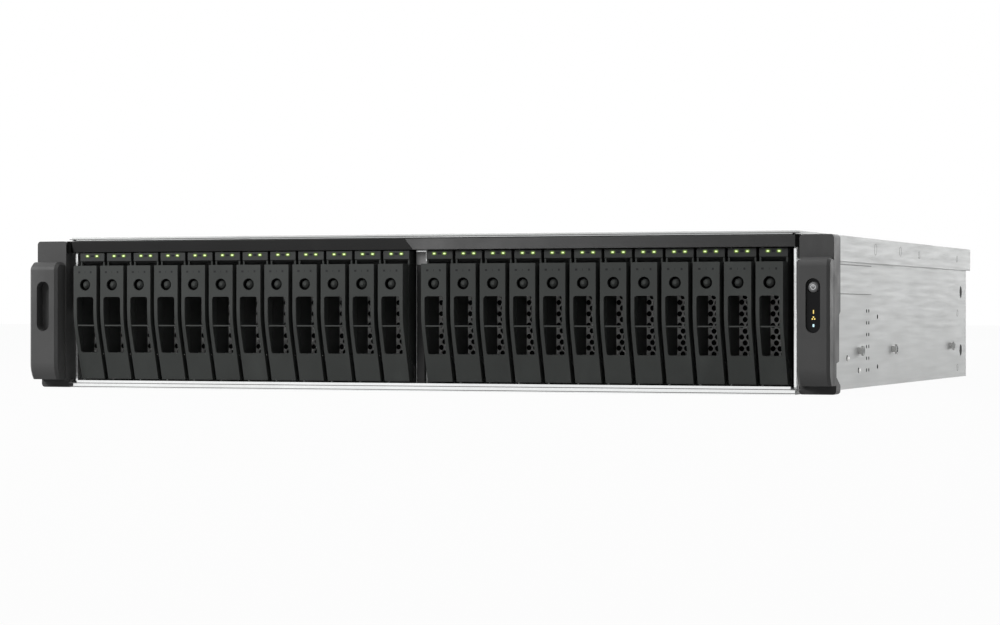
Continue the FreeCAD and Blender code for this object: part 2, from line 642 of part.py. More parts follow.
def drive_cage():
    """Sheet box round the bays, with the centre channel and a guide rib beside each tray."""
    body = new_body("drive_cage")
    outer = WALL_IN
    inner = f"({outer} - cage_sheet)"
    roof_top = f"{CAGE_ROOF} + cage_sheet"
    shell = new_sketch(body, "cage_shell", "XZ_Plane", "-cage_floor_front")
    outline(shell, [
        (f"-{outer}", "pan_sheet"), (f"-{inner}", "pan_sheet"), (f"-{inner}", "cage_floor"),
        (inner, "cage_floor"), (inner, "pan_sheet"), (outer, "pan_sheet"),
        (outer, roof_top), (f"-{outer}", roof_top)])
    outline(shell, [
        (f"-{inner}", "cage_floor + cage_sheet"), (inner, "cage_floor + cage_sheet"),
        (inner, CAGE_ROOF), (f"-{inner}", CAGE_ROOF)])
    pad(body, shell, f"{CAGE_REAR} - cage_floor_front", backwards=True)

    brow = new_sketch(body, "cage_brow", "YZ_Plane")
    outline(brow, [
        ("cage_front", CAGE_ROOF), ("cage_floor_front", CAGE_ROOF),
        ("cage_floor_front", roof_top), ("cage_front + cage_sheet", roof_top),
        ("cage_front + cage_sheet", f"{CAGE_ROOF} + cage_hem_height"),
        ("cage_front", f"{CAGE_ROOF} + cage_hem_height")])
    pad(body, brow, f"2 * {outer}", midplane=True)

    channel = new_sketch(body, "cage_channel", "XY_Plane", "cage_floor + cage_sheet / 2")
    half = "channel_half_width"
    outline(channel, [
        (f"-{half}", "channel_front"), (half, "channel_front"), (half, MIDPLANE_FRONT),
        (f"{half} - cage_sheet", MIDPLANE_FRONT),
        (f"{half} - cage_sheet", "channel_front + cage_sheet"),
        (f"-{half} + cage_sheet", "channel_front + cage_sheet"),
        (f"-{half} + cage_sheet", MIDPLANE_FRONT), (f"-{half}", MIDPLANE_FRONT)])
    pad(body, channel, f"{CAGE_ROOF} - cage_floor")

    for group, name in ((-1, "left"), (1, "right")):
        guides = new_sketch(body, f"cage_guides_{name}", "XZ_Plane", "-cage_floor_front")
        middle = f"({bay_centre(group, 0)} + {BAY_PITCH} / 2)"
        left, right = f"{middle} - guide_width / 2", f"{middle} + guide_width / 2"
        rectangle(guides, left, right, "cage_floor + cage_sheet / 2",
                  "cage_floor + cage_sheet + guide_height")
        rectangle(guides, left, right, f"{CAGE_ROOF} - guide_height", f"{CAGE_ROOF} + cage_sheet / 2")
        ribs = pad(body, guides, f"{MIDPLANE_FRONT} - cage_floor_front", backwards=True)
        row(body, ribs, guides, "bays_per_group - 1", BAY_PITCH)
    return body


finish(drive_cage())


# ---------------------------------------------------------------- centre divider and bezel bar


def centre_divider():
    """Moulded post clipped to the front of the centre channel, with a foot on the floor."""
    body = new_body("centre_divider")
    post = new_sketch(body, "divider_post", "XY_Plane", "pan_sheet")
    rectangle(post, "-post_half_width", "post_half_width", POST_FRONT, "channel_front")
    pad(body, post, f"{POST_TOP} - pan_sheet")
    soften(body, "Chamfer", "post_nose", lambda edge: along(edge, UP)
           and edge.CenterOfMass.y < number("channel_front - post_depth / 2"))
    foot = new_sketch(body, "divider_foot", "XY_Plane", "pan_sheet")
    rectangle(foot, "-foot_half_width", "foot_half_width", "pan_lip_front + 2 * pan_sheet",
              "channel_front")
    pad(body, foot, "foot_height")
    return body


def bezel_half(name, inner_bottom, inner_top, near_bottom, near_top, turned):
    """One facet of the bezel bar, a wedge whose front leans and whose inner end slants."""
    wedge = doc.addObject("Part::Wedge", name)
    outer = f"({EAR_IN} - bar_end_gap)"
    bind(wedge, "Ymin", ORIGIN)
    bind(wedge, "Ymax", f"{EAR_TOP} - {CAP_TOP} - bar_gap")
    bind(wedge, "Zmin", "-cage_front")
    bind(wedge, "Z2min", "-cage_front")
    bind(wedge, "Zmax", f"-{near_bottom}")
    bind(wedge, "Z2max", f"-{near_top}")
    if turned:
        bind(wedge, "Xmin", f"-{outer}")
        bind(wedge, "X2min", f"-{outer}")
        bind(wedge, "Xmax", inner_bottom)
        bind(wedge, "X2max", inner_top)
    else:
        bind(wedge, "Xmin", inner_bottom)
        bind(wedge, "X2min", inner_top)
        bind(wedge, "Xmax", outer)
        bind(wedge, "X2max", outer)
    wedge.Placement = FreeCAD.Placement(FreeCAD.Vector(), FreeCAD.Rotation(ACROSS, 90))
    bind(wedge, "Placement.Base.z", f"{CAP_TOP} + bar_gap")
    return wedge


finish(centre_divider())
bar = doc.addObject("Part::MultiFuse", "front_bezel_bar")
bar.Label = "front_bezel_bar"
bar.Shapes = [
    bezel_half("bar_left", "bar_crease_bottom", "bar_crease_top",
               "bar_front_far", "bar_front_near", True),
    bezel_half("bar_right", "bar_crease_bottom", "bar_crease_top",
               "bar_front_near", "bar_front_far", False)]
finish(bar)


# ---------------------------------------------------------------- rack ears

HANDLE_OUT = f"({EAR_OUT} - handle_edge)"
HANDLE_MIDDLE = f"({HANDLE_OUT} - handle_width / 2)"
CHIN_RISE = "(handle_flat_bottom - ear_foot_top)"
CHIN_RADIUS = f"(({CHIN_RISE} * {CHIN_RISE} + handle_chin * handle_chin) / (2 * handle_chin))"
CROWN_RADIUS = "(handle_top - handle_flat_top)"


def rack_ear():
    """The right-hand ear: hollow moulding, solid handle with curled ends, and a long slot."""
    body = new_body("ear")
    side = new_sketch(body, "ear_side", "YZ_Plane", EAR_IN)
    outline(side, [
        (ORIGIN, EAR_TOP), (ORIGIN, "ear_foot_top"), ("ear_foot_front", "ear_foot_top"),
        ("ear_foot_front", "ear_lift"), ("ear_depth", "ear_lift"), ("ear_depth", "ear_foot_top"),
        ("ear_notch_depth", "ear_notch_bottom"), ("ear_notch_depth", "ear_waist_bottom - ear_step"),
        ("ear_waist_depth", "ear_waist_bottom"), ("ear_waist_depth", "ear_waist_top - 2 * ear_step"),
        ("ear_depth", "ear_waist_top"), ("ear_depth", EAR_TOP)])
    pad(body, side, "ear_width")
    web = new_sketch(body, "ear_inner_wall", "YZ_Plane", EAR_IN)
    rectangle(web, "ear_wall", "ear_depth", "ear_foot_top - ear_step", "ear_waist_top")
    pad(body, web, "ear_wall")
    foot = new_sketch(body, "ear_foot", "YZ_Plane", FOOT_IN)
    rectangle(foot, "ear_foot_front", "ear_depth", "ear_lift", "ear_foot_top")
    pad(body, foot, f"{EAR_IN} + ear_wall - {FOOT_IN}")
    soften(body, "Fillet", "ear_corner", lambda edge: along(edge, BACK)
           and (edge.CenterOfMass.z > number(f"{EAR_TOP} - ear_step")
                or edge.CenterOfMass.z < number("ear_lift + ear_step")))

    hollow = new_sketch(body, "ear_hollow", "XZ_Plane", "-ear_depth")
    rectangle(hollow, f"{EAR_IN} + ear_wall", f"{EAR_OUT} - ear_wall",
              "ear_waist_bottom + ear_wall", f"{EAR_TOP} - ear_wall")
    pocket(body, hollow, "ear_depth - ear_wall", backwards=True)

    trim = new_sketch(body, "ear_inner_edge", "YZ_Plane", EAR_IN)
    rectangle(trim, "ear_depth - bracket_sheet", "ear_depth + bracket_sheet",
              "bracket_bottom - bracket_gap", f"{BRACKET_TOP} + bracket_gap")
    pocket(body, trim, "2 * ear_wall", midplane=True)

    handle = new_sketch(body, "ear_handle", "YZ_Plane", HANDLE_MIDDLE)
    front = "-handle_reach"
    outline(handle, [
        ("ear_wall / 2", "handle_top"), (f"{front} + {CROWN_RADIUS}", "handle_top"),
        (front, "handle_flat_top"), (front, "handle_flat_bottom"),
        (f"{front} + handle_chin", "ear_foot_top"), ("ear_wall / 2", "ear_foot_top")],
        arcs={1: CROWN_RADIUS, 3: CHIN_RADIUS})
    pad(body, handle, "handle_width", midplane=True)
    soften(body, "Chamfer", "handle_round", lambda edge: along(edge, UP)
           and abs(edge.CenterOfMass.y - number(front)) < number("handle_round") / 2)

    slot = new_sketch(body, "ear_slot", "XZ_Plane", "handle_reach")
    end = "(slot_height - slot_width) / 2"
    stadium(slot, HANDLE_MIDDLE, "slot_width / 2", f"slot_middle - {end}", f"slot_middle + {end}")
    pocket(body, slot, "slot_depth")

    boss = new_sketch(body, "ear_boss", "XZ_Plane", "-ear_wall / 2")
    boss_up = f"(bracket_bottom + {BRACKET_TOP}) / 2"
    rectangle(boss, f"{HANDLE_MIDDLE} - bracket_boss_half", f"{HANDLE_MIDDLE} + bracket_boss_half",
              f"{boss_up} - bracket_boss_half", f"{boss_up} + bracket_boss_half")
    pad(body, boss, "ear_depth - bracket_sheet - ear_wall / 2", backwards=True)
    return body


def ear_bracket():
    """Steel angle: a flange that closes the ear's back, and an arm on the side wall."""
    body = new_body("bracket")
    angle = new_sketch(body, "bracket_angle", "XY_Plane", "bracket_bottom")
    outline(angle, [
        (WALL_OUT, "ear_depth - bracket_sheet"),
        (f"{EAR_OUT} - ear_wall", "ear_depth - bracket_sheet"),
        (f"{EAR_OUT} - ear_wall", "ear_depth"),
        (f"{WALL_OUT} + bracket_arm_sheet", "ear_depth"),
        (f"{WALL_OUT} + bracket_arm_sheet", "ear_depth + bracket_sheet"),
        (WALL_OUT, "ear_depth + bracket_sheet")])
    pad(body, angle, f"{BRACKET_TOP} - bracket_bottom")
    arm = new_sketch(body, "bracket_arm", "YZ_Plane", WALL_OUT)
    rectangle(arm, "ear_depth - bracket_sheet / 2", CAGE_REAR, "arm_bottom", ARM_TOP)
    pad(body, arm, "bracket_arm_sheet")
    return body


SLOT_BACK = "(slot_depth - handle_reach)"
WINDOW_FRONT = "(window_recess - handle_reach)"
BUTTON_UP = "(slot_middle + slot_height / 2 - button_inset - button_radius)"


def status_window():
    """Glossy insert of the right-hand slot, with the bore of the power button."""
    body = new_body("status_window")
    pane = new_sketch(body, "window_pane", "XZ_Plane", f"-{WINDOW_FRONT}")
    end = "(slot_height - slot_width) / 2"
    stadium(pane, HANDLE_MIDDLE, "slot_width / 2 - window_gap",
            f"slot_middle - {end}", f"slot_middle + {end}")
    pad(body, pane, f"{SLOT_BACK} - {WINDOW_FRONT}", backwards=True)
    bore = new_sketch(body, "window_bore", "XZ_Plane", f"-{WINDOW_FRONT}")
    circle(bore, HANDLE_MIDDLE, BUTTON_UP, "button_radius + button_gap")
    pocket(body, bore, "2 * slot_depth")
    return body


def power_button():
    """Domed button in the status window."""
    body = new_body("power_button")
    disc = new_sketch(body, "button_disc", "XZ_Plane", f"button_proud - {WINDOW_FRONT}")
    circle(disc, HANDLE_MIDDLE, BUTTON_UP, "button_radius")
    pad(body, disc, "button_length", backwards=True)
    soften(body, "Chamfer", "button_crown", lambda edge: edge.Curve.TypeId == "Part::GeomCircle"
           and edge.CenterOfMass.y < number(WINDOW_FRONT))
    return body


ear = rack_ear()
bracket = ear_bracket()
finish(joined("right_ear", [ear, bracket, status_window()]))
finish(joined("left_ear", [mirrored("ear_left", ear), mirrored("bracket_left", bracket)]))
finish(power_button())


# ---------------------------------------------------------------- drive carriers

LUG_HALF = f"({LEVER_WIDTH} / 2 - lever_cheek - lug_gap)"


def carrier_frame():
    """Cap, tunnel with its air plate, two rails, tail and the lug whose open slot takes the pin."""
    body = new_body("carrier_frame")
    cap = new_sketch(body, "carrier_cap", "YZ_Plane")
    outline(cap, [
        ("cap_front", CAP_TOP), ("cap_front", CAP_BOTTOM),
        ("cap_front + cap_slope", CAP_UNDERSIDE), ("tunnel_rear", CAP_UNDERSIDE),
        ("tunnel_rear", DRIVE_TOP), ("rail_end", DRIVE_TOP), ("rail_end", CAP_TOP)])
    pad(body, cap, CAP_WIDTH, midplane=True)

    tunnel = new_sketch(body, "carrier_tunnel", "YZ_Plane")
    lobe_clear = "(pivot_depth + lobe_reach + 2 * tunnel_wall)"
    outline(tunnel, [
        ("tunnel_front", CAP_UNDERSIDE), ("tunnel_front", "lobe_shoulder + tunnel_wall"),
        (lobe_clear, "pivot_height + 2 * lug_radius"), (lobe_clear, "rail_bottom"),
        ("tunnel_rear", "rail_bottom"), ("tunnel_rear", CAP_UNDERSIDE)])
    pad(body, tunnel, f"2 * {TUNNEL_HALF}", midplane=True)

    throat = new_sketch(body, "carrier_throat", "YZ_Plane")
    rectangle(throat, "tunnel_front - tunnel_wall", "plate_front",
              "drive_bottom + 3 * lug_radius", CAP_UNDERSIDE)
    pocket(body, throat, f"2 * ({TUNNEL_HALF} - tunnel_wall)", midplane=True)

    sill = new_sketch(body, "carrier_bottom_rail", "YZ_Plane")
    rectangle(sill, lobe_clear, "rail_end", "rail_bottom", "drive_bottom")
    pad(body, sill, CAP_WIDTH, midplane=True)

    tail = new_sketch(body, "carrier_tail", "YZ_Plane", "card_thickness")
    rectangle(tail, "rail_end - tail_length", "rail_end", "rail_bottom", DRIVE_TOP)
    pad(body, tail, f"{CAP_WIDTH} / 2 - card_thickness")

    lug = new_sketch(body, "carrier_lug", "YZ_Plane")
    low, high = "pivot_height - lug_radius", "pivot_height + lug_radius"
    slot_low, slot_high = "pivot_height - pin_radius - pin_gap", "pivot_height + pin_radius + pin_gap"
    nose, slot_end = "pivot_depth - pin_radius / 2", "pivot_depth + pin_radius + pin_gap"
    outline(lug, [
        ("tunnel_rear", high), (nose, high), (nose, slot_high), (slot_end, slot_high),
        (slot_end, slot_low), (nose, slot_low), (nose, low), ("tunnel_rear", low)])
    pad(body, lug, f"2 * {LUG_HALF}", midplane=True)
    return body


def carrier_load():
    """The drive on edge between the rails, and the transition card behind it."""
    drive = box("drive", "-drive_width / 2", "drive_width / 2", "tunnel_rear",
                "tunnel_rear + drive_length", "drive_bottom", DRIVE_TOP)
    card = box("card", "-card_thickness / 2", "card_thickness / 2", "tunnel_rear + drive_length",
               CARD_END, "card_bottom", "card_bottom + card_height")
    return [drive, card]


# ---------------------------------------------------------------- levers

BEND_DROP = "(lever_bend_radius * sin(lever_lean))"
BEND_BACK = "(lever_bend_radius * (1 - cos(lever_lean)))"
BEND_END = f"(lever_bend_top - {BEND_DROP})"


def face_points(inset, foot):
    """Down the face of a lever, moved back by inset: top of the bend, end of the bend, foot."""
    bend_end = f"{BEND_END} + {inset} * sin(lever_lean)"
    back_end = f"lever_front + {BEND_BACK} + {inset} * cos(lever_lean)"
    run = f"(({bend_end}) - ({foot})) * tan(lever_lean)"
    return [(f"lever_front + {inset}", "lever_bend_top"), (back_end, bend_end),
            (f"{back_end} + {run}", foot)]


def lever():
    """Curved moulding with two cheeks, a window with a crossbar, and its own hinge pin."""
    body = new_body("lever")
    side = new_sketch(body, "lever_side", "YZ_Plane")
    lobe_back = "pivot_depth + lobe_reach"
    outline(side, [("lever_front", LEVER_TOP)] + face_points(ORIGIN, "lever_bottom") + [
        ("pivot_depth", "lever_bottom"), (lobe_back, "pivot_height - lobe_foot"),
        (lobe_back, "pivot_height + lobe_reach"), ("lever_back", "lobe_shoulder"),
        ("lever_back", LEVER_TOP)], arcs={1: "lever_bend_radius"})
    pad(body, side, LEVER_WIDTH, midplane=True)

    inside = new_sketch(body, "lever_inside", "YZ_Plane")
    outline(inside, [("lever_front + lever_skin", f"{LEVER_TOP} - lever_cap")]
            + face_points("lever_skin", "lever_bottom - lever_skin") + [
        ("pivot_depth + 2 * lobe_reach", "lever_bottom - lever_skin"),
        ("pivot_depth + 2 * lobe_reach", "lobe_shoulder"),
        ("lever_back + lever_skin", f"{LEVER_TOP} - lever_cap")])
    pocket(body, inside, f"{LEVER_WIDTH} - 2 * lever_cheek", midplane=True)

    vents = new_sketch(body, "lever_vents", "XZ_Plane", "-lever_front")
    for low, high in (("vent_bottom", "vent_bar_height - vent_bar / 2"),
                      ("vent_bar_height + vent_bar / 2", VENT_TOP)):
        rectangle(vents, f"-{VENT_HALF}", VENT_HALF, low, high)
    polygon(vents, ORIGIN, RELEASE_UP, "(release_radius + release_gap)", ROUND_SIDES)
    pocket(body, vents, "lever_back - lever_front")

    pin = new_sketch(body, "lever_pin", "YZ_Plane")
    half_round(pin, "pivot_depth", "pivot_height", "pin_radius")
    pad(body, pin, f"{LEVER_WIDTH} - lever_cheek", midplane=True)
    return body


def release_button():
    """Round button with a square plate behind the lever's face."""
    body = new_body("release_button")
    seat = "(lever_front + lever_skin)"
    plate = new_sketch(body, "release_plate_face", "XZ_Plane", f"-{seat}")
    rectangle(plate, "-release_plate_half", "release_plate_half",
              f"{RELEASE_UP} - release_plate_half", f"{RELEASE_UP} + release_plate_half")
    pad(body, plate, "release_plate", backwards=True)
    knob = new_sketch(body, "release_knob", "XZ_Plane", f"-{seat}")
    polygon(knob, ORIGIN, RELEASE_UP, "release_radius", ROUND_SIDES)
    pad(body, knob, "lever_skin - release_recess")
    return body


carrier_pieces = [carrier_frame()] + carrier_load()
lever_pieces = [lever(), release_button()]
bay_number = 0
for group in (-1, 1):
    for index in range(int(number("bays_per_group"))):
        bay_number += 1
        centre = bay_centre(group, index)
        finish(joined(f"drive_carrier_{bay_number:02d}", carrier_pieces), across=centre)
        finish(joined(f"carrier_lever_{bay_number:02d}", lever_pieces), across=centre)


# ---------------------------------------------------------------- midplane


def midplane():
    """Board across the bays with air slots, a receptacle for each tray and module plugs."""
    body = new_body("board")
    board = new_sketch(body, "board_face", "XZ_Plane", f"-{MIDPLANE_FRONT}")
    half = f"({WALL_IN} - cage_sheet)"
    rectangle(board, f"-{half}", half, "midplane_bottom", MIDPLANE_TOP)
    pad(body, board, "midplane_thickness", backwards=True)
    for group, name in ((-1, "left"), (1, "right")):
        slots = new_sketch(body, f"midplane_slots_{name}", "XZ_Plane", f"-{MIDPLANE_FRONT}")
        middle = f"({bay_centre(group, 0)} + {BAY_PITCH} / 2)"
        rectangle(slots, f"{middle} - air_slot_width / 2", f"{middle} + air_slot_width / 2",
                  "midplane_bottom + air_slot_margin", f"{MIDPLANE_TOP} - air_slot_margin")
        cut = pocket(body, slots, "midplane_thickness")
        row(body, cut, slots, "bays_per_group - 1", BAY_PITCH)

        sockets = new_sketch(body, f"midplane_receptacles_{name}", "XZ_Plane", f"-{MIDPLANE_FRONT}")
        middle = bay_centre(group, 0)
        rectangle(sockets, f"{middle} - receptacle_width / 2", f"{middle} + receptacle_width / 2",
                  "receptacle_bottom", "receptacle_bottom + receptacle_height")
        block = pad(body, sockets, f"{MIDPLANE_FRONT} - {RECEPTACLE_FRONT}")
        row(body, block, sockets, "bays_per_group", BAY_PITCH)
    return body


def module_plugs():
    """The board's three plugs for the rear modules."""
    power_middle = f"({MODULE_OUT} + {MODULE_IN}) / 2"
    front = f"{MIDPLANE_FRONT} + midplane_thickness"
    return [box(name, f"{middle} - module_plug_width / 2", f"{middle} + module_plug_width / 2",
                front, f"{front} + module_plug_length",
                "module_plug_bottom", "module_plug_bottom + module_plug_height")
            for name, middle in (("io_plug", ORIGIN), ("right_plug", power_middle),
                                 ("left_plug", f"-{power_middle}"))]


finish(joined("midplane_board", [midplane()] + module_plugs()))


# ---------------------------------------------------------------- rear modules

FACE_REAR = "body_depth"


def module_case(name, inner, outer):
    """Closed case of a rear module, with its face flush with the rear wall."""
    body = new_body(name)
    case = new_sketch(body, f"{name}_case", "XZ_Plane", f"-{FACE_REAR}")
    rectangle(case, inner, outer, "module_bottom", MODULE_TOP)
    pad(body, case, f"{FACE_REAR} - {MODULE_FRONT}")
    return body


def pull_handle(case, name, middle):
    """A bow handle screwed to a module's face, round a finger recess cut in the case."""
    height = f"({MODULE_TOP} - inlet_height / 2)"
    low, high = f"({middle}) - pull_span / 2", f"({middle}) + pull_span / 2"
    recess = new_sketch(case, f"{name}_finger_recess", "XZ_Plane", f"-{FACE_REAR}")
    rectangle(recess, f"{low} + pull_bar", f"{high} - pull_bar",
              f"{height} - pull_recess_height / 2", f"{height} + pull_recess_height / 2")
    pocket(case, recess, "pull_recess", backwards=True)
    body = new_body(f"{name}_handle")
    bow = new_sketch(body, f"{name}_bow", "XY_Plane", height)
    end = f"{FACE_REAR} + pull_reach"
    outline(bow, [
        (low, FACE_REAR), (f"{low} + pull_bar", FACE_REAR),
        (f"{low} + pull_bar", f"{end} - pull_bar"), (f"{high} - pull_bar", f"{end} - pull_bar"),
        (f"{high} - pull_bar", FACE_REAR), (high, FACE_REAR), (high, end), (low, end)])
    pad(body, bow, "2 * pull_bar", midplane=True)
    return body


def power_module():
    """Right-hand power and cooling module: fan opening, mains inlet and pull handle."""
    case = module_case("power_case", MODULE_IN, MODULE_OUT)
    middle_up = f"(module_bottom + {MODULE_TOP}) / 2"
    fan_x = f"({MODULE_IN} + fan_radius + 2 * pull_bar)"
    fan = new_sketch(case, "power_fan", "XZ_Plane", f"-{FACE_REAR}")
    circle(fan, fan_x, middle_up, "fan_radius")
    circle(fan, fan_x, middle_up, "fan_hub_radius")
    pocket(case, fan, "fan_recess", backwards=True)
    inlet = new_sketch(case, "power_inlet", "XZ_Plane", f"-{FACE_REAR}")
    inlet_x = f"({MODULE_OUT} - inlet_width / 2 - pull_bar)"
    rectangle(inlet, f"{inlet_x} - inlet_width / 2", f"{inlet_x} + inlet_width / 2",
              "module_bottom + 2 * pull_bar", "module_bottom + 2 * pull_bar + inlet_height")
    pocket(case, inlet, "inlet_recess", backwards=True)
    handle = pull_handle(case, "power", f"{MODULE_OUT} - pull_span / 2 - face_thickness")
    return [case, handle]


def io_module():
    """Middle module with its row of disk link ports and a pull handle at each end."""
    case = module_case("io_case", f"-{IO_HALF}", IO_HALF)
    ports = new_sketch(case, "io_ports", "XZ_Plane", f"-{FACE_REAR}")
    for index in range(int(number("port_count"))):
        middle = f"({index} - (port_count - 1) / 2) * port_pitch"
        rectangle(ports, f"{middle} - port_width / 2", f"{middle} + port_width / 2",
                  "module_bottom + inlet_height / 2",
                  "module_bottom + inlet_height / 2 + port_height")
    pocket(case, ports, "port_recess", backwards=True)
    handles = [pull_handle(case, name, f"{side}({IO_HALF} - pull_span / 2 - 2 * pull_bar)")
               for name, side in (("io_right", ""), ("io_left", "-"))]
    return [case] + handles


power = power_module()
finish(joined("right_power_module", power))
finish(joined("left_power_module",
              [mirrored("left_power_case", power[0]), mirrored("left_power_handle", power[1])]))
finish(joined("io_module", io_module()))


# ---------------------------------------------------------------- check and export

doc.recompute()
for thing in doc.Objects:
    if "Invalid" in thing.State or "Error" in thing.State:
        raise RuntimeError(f"{thing.Label} failed: {thing.State}")
for node in nodes:
    if node.Shape.isNull() or not node.Shape.isValid():
        raise RuntimeError(f"{node.Label} has no valid shape")

os.makedirs("parts", exist_ok=True)
for node in nodes:
    node.Shape.exportStep(f"parts/{node.Label}.step")
print(f"{len(nodes)} sub-parts written")
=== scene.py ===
# %% [markdown]
# # Dressing a disk shelf
#
# A disk shelf is a shallow steel box, two rack units high, that holds twenty-four small drives.
# Each drive stands on edge in a moulded tray, and a curved lever on the front of the tray locks it
# in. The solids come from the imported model. This lesson gives them the finish and the small parts
# that the eye looks for: soft edges, lights, air holes, screws, a fan and its guard.
#
# Everything is drawn in millimetres, measured from the middle of the shelf, from the plane of the
# rack ears and from the underside, and one matrix turns that into the frame's metres.

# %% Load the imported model
import math

import bmesh
import bpy
from mathutils import Matrix, Vector


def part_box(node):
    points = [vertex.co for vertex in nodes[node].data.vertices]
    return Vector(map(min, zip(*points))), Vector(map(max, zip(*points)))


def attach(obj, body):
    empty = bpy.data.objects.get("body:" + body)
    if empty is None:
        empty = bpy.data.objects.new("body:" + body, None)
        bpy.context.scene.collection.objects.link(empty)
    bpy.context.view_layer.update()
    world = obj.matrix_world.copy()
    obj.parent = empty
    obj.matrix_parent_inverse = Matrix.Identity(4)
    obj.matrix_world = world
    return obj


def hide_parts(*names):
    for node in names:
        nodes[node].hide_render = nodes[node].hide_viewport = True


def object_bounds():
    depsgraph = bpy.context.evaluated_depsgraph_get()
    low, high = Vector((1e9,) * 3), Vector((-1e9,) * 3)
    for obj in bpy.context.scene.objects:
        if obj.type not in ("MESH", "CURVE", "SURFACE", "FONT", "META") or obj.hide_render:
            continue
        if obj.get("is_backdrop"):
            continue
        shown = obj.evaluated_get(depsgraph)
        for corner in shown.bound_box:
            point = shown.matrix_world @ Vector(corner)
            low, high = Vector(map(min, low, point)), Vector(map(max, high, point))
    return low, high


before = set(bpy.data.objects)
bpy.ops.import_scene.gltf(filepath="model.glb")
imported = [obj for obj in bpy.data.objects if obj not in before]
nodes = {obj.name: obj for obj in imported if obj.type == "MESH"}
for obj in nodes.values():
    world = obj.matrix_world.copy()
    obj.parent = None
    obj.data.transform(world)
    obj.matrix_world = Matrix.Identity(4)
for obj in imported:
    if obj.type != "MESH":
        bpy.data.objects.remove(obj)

size_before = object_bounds()

# %% Millimetres to metres
MM = 0.001
HANDLE_REACH = 10.3
EAR_PLANE = size_before[0].y + HANDLE_REACH * MM
SEAT = Matrix.Translation((0, EAR_PLANE, 0)) @ Matrix.Scale(MM, 4)
BAYS = [f"{number:02d}" for number in range(1, 25)]


def local_box(node):
    """A solid's lowest and highest corners in millimetres from the ear plane."""
    return [SEAT.inverted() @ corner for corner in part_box(node)]


bay_middles = {bay: sum(corner.x for corner in local_box(f"carrier_lever_{bay}")) / 2
               for bay in BAYS}
print(f"ear plane at {EAR_PLANE:.5f} m, first bay {bay_middles['01']:.1f} mm from the middle")

# %% [markdown]
# ## Camera
#
# The shelf is looked at from its right front corner, from half its own height, so the top is never
# seen and the right side falls away. A long lens keeps the row of trays nearly even. The camera
# comes first, because every later choice is judged through it.

# %% Camera
CAMERA_ACROSS, CAMERA_BACK, CAMERA_UP = 592.1, -1478.9, 44.37
CAMERA_TURN = 20.1
LENS = 101.7

lens = bpy.data.cameras.new("camera")
lens.lens = LENS
lens.sensor_width = 36
lens.clip_start, lens.clip_end = 0.05, 60
camera = bpy.data.objects.new("camera", lens)
camera.location = SEAT @ Vector((CAMERA_ACROSS, CAMERA_BACK, CAMERA_UP))
camera.rotation_euler = (math.radians(90), 0, math.radians(CAMERA_TURN))
bpy.context.scene.collection.objects.link(camera)
bpy.context.scene.camera = camera
print("camera at", [round(value, 3) for value in camera.location])

# %% [markdown]
# ## Light and floor
#
# A studio for a dark, mostly flat object needs broad lamps. One in front on the left and one above
# light the levers, and a small one close to the left ear rounds it off. Two more stand off to the
# right and behind, so that no side goes flat, and the world fills the rest. World and floor are
# plain white to the camera and in reflections, and only what falls on the object is dimmer. The
# floor keeps a little of its own shading for the shadow.

# %% World
FILL = 0.30

scene = bpy.context.scene
scene.view_settings.view_transform = "Standard"
world = bpy.data.worlds.new("studio")
world.use_nodes = True
scene.world = world
sky = world.node_tree
sky.nodes.clear()


def seen_directly(tree):
    """A value of 1 for rays that show the backdrop: to the eye, in gloss and through glass."""
    path = tree.nodes.new("ShaderNodeLightPath")
    total = path.outputs["Is Camera Ray"]
    for kind in ("Is Glossy Ray", "Is Transmission Ray"):
        both = tree.nodes.new("ShaderNodeMath")
        both.operation = "MAXIMUM"
        tree.links.new(total, both.inputs[0])
        tree.links.new(path.outputs[kind], both.inputs[1])
        total = both.outputs[0]
    return total


fill = sky.nodes.new("ShaderNodeBackground")
fill.inputs["Strength"].default_value = FILL
white = sky.nodes.new("ShaderNodeBackground")
white.inputs["Strength"].default_value = 1.0
for background in (fill, white):
    background.inputs["Color"].default_value = (1, 1, 1, 1)
choice = sky.nodes.new("ShaderNodeMixShader")
out = sky.nodes.new("ShaderNodeOutputWorld")
sky.links.new(seen_directly(sky), choice.inputs[0])
sky.links.new(fill.outputs[0], choice.inputs[1])
sky.links.new(white.outputs[0], choice.inputs[2])
sky.links.new(choice.outputs[0], out.inputs["Surface"])
print("world fill", FILL)


# %% Lamps
# Place, width and power of each square area lamp, in metres and watts.
LAMPS = {"key_lamp": ((-0.85, -1.55, 0.85), 0.7, 14),
         "top_lamp": ((-0.2, -0.9, 2.0), 1.0, 14),
         "left_lamp": ((-0.7, -0.75, 0.4), 0.3, 2.2),
         "right_lamp": ((2.8, 0.6, 0.6), 1.4, 4.6),
         "rear_lamp": ((0.6, 2.6, 0.8), 1.6, 16)}
LAMP_AIM = Vector((0, EAR_PLANE, 0.045))

for name, (lamp_place, width, power) in LAMPS.items():
    lamp = bpy.data.lights.new(name, "AREA")
    lamp.size, lamp.energy = width, power
    holder = bpy.data.objects.new(name, lamp)
    holder.location = lamp_place
    holder.rotation_euler = (LAMP_AIM - holder.location).to_track_quat("-Z", "Y").to_euler()
    scene.collection.objects.link(holder)
    print(f"{name}: {power} W, {width} m wide")

# %% Floor
FLOOR_HALF, FLOOR_DROP = 8.0, 0.0004
FLOOR_WHITE, FLOOR_GREY = 0.965, 0.40

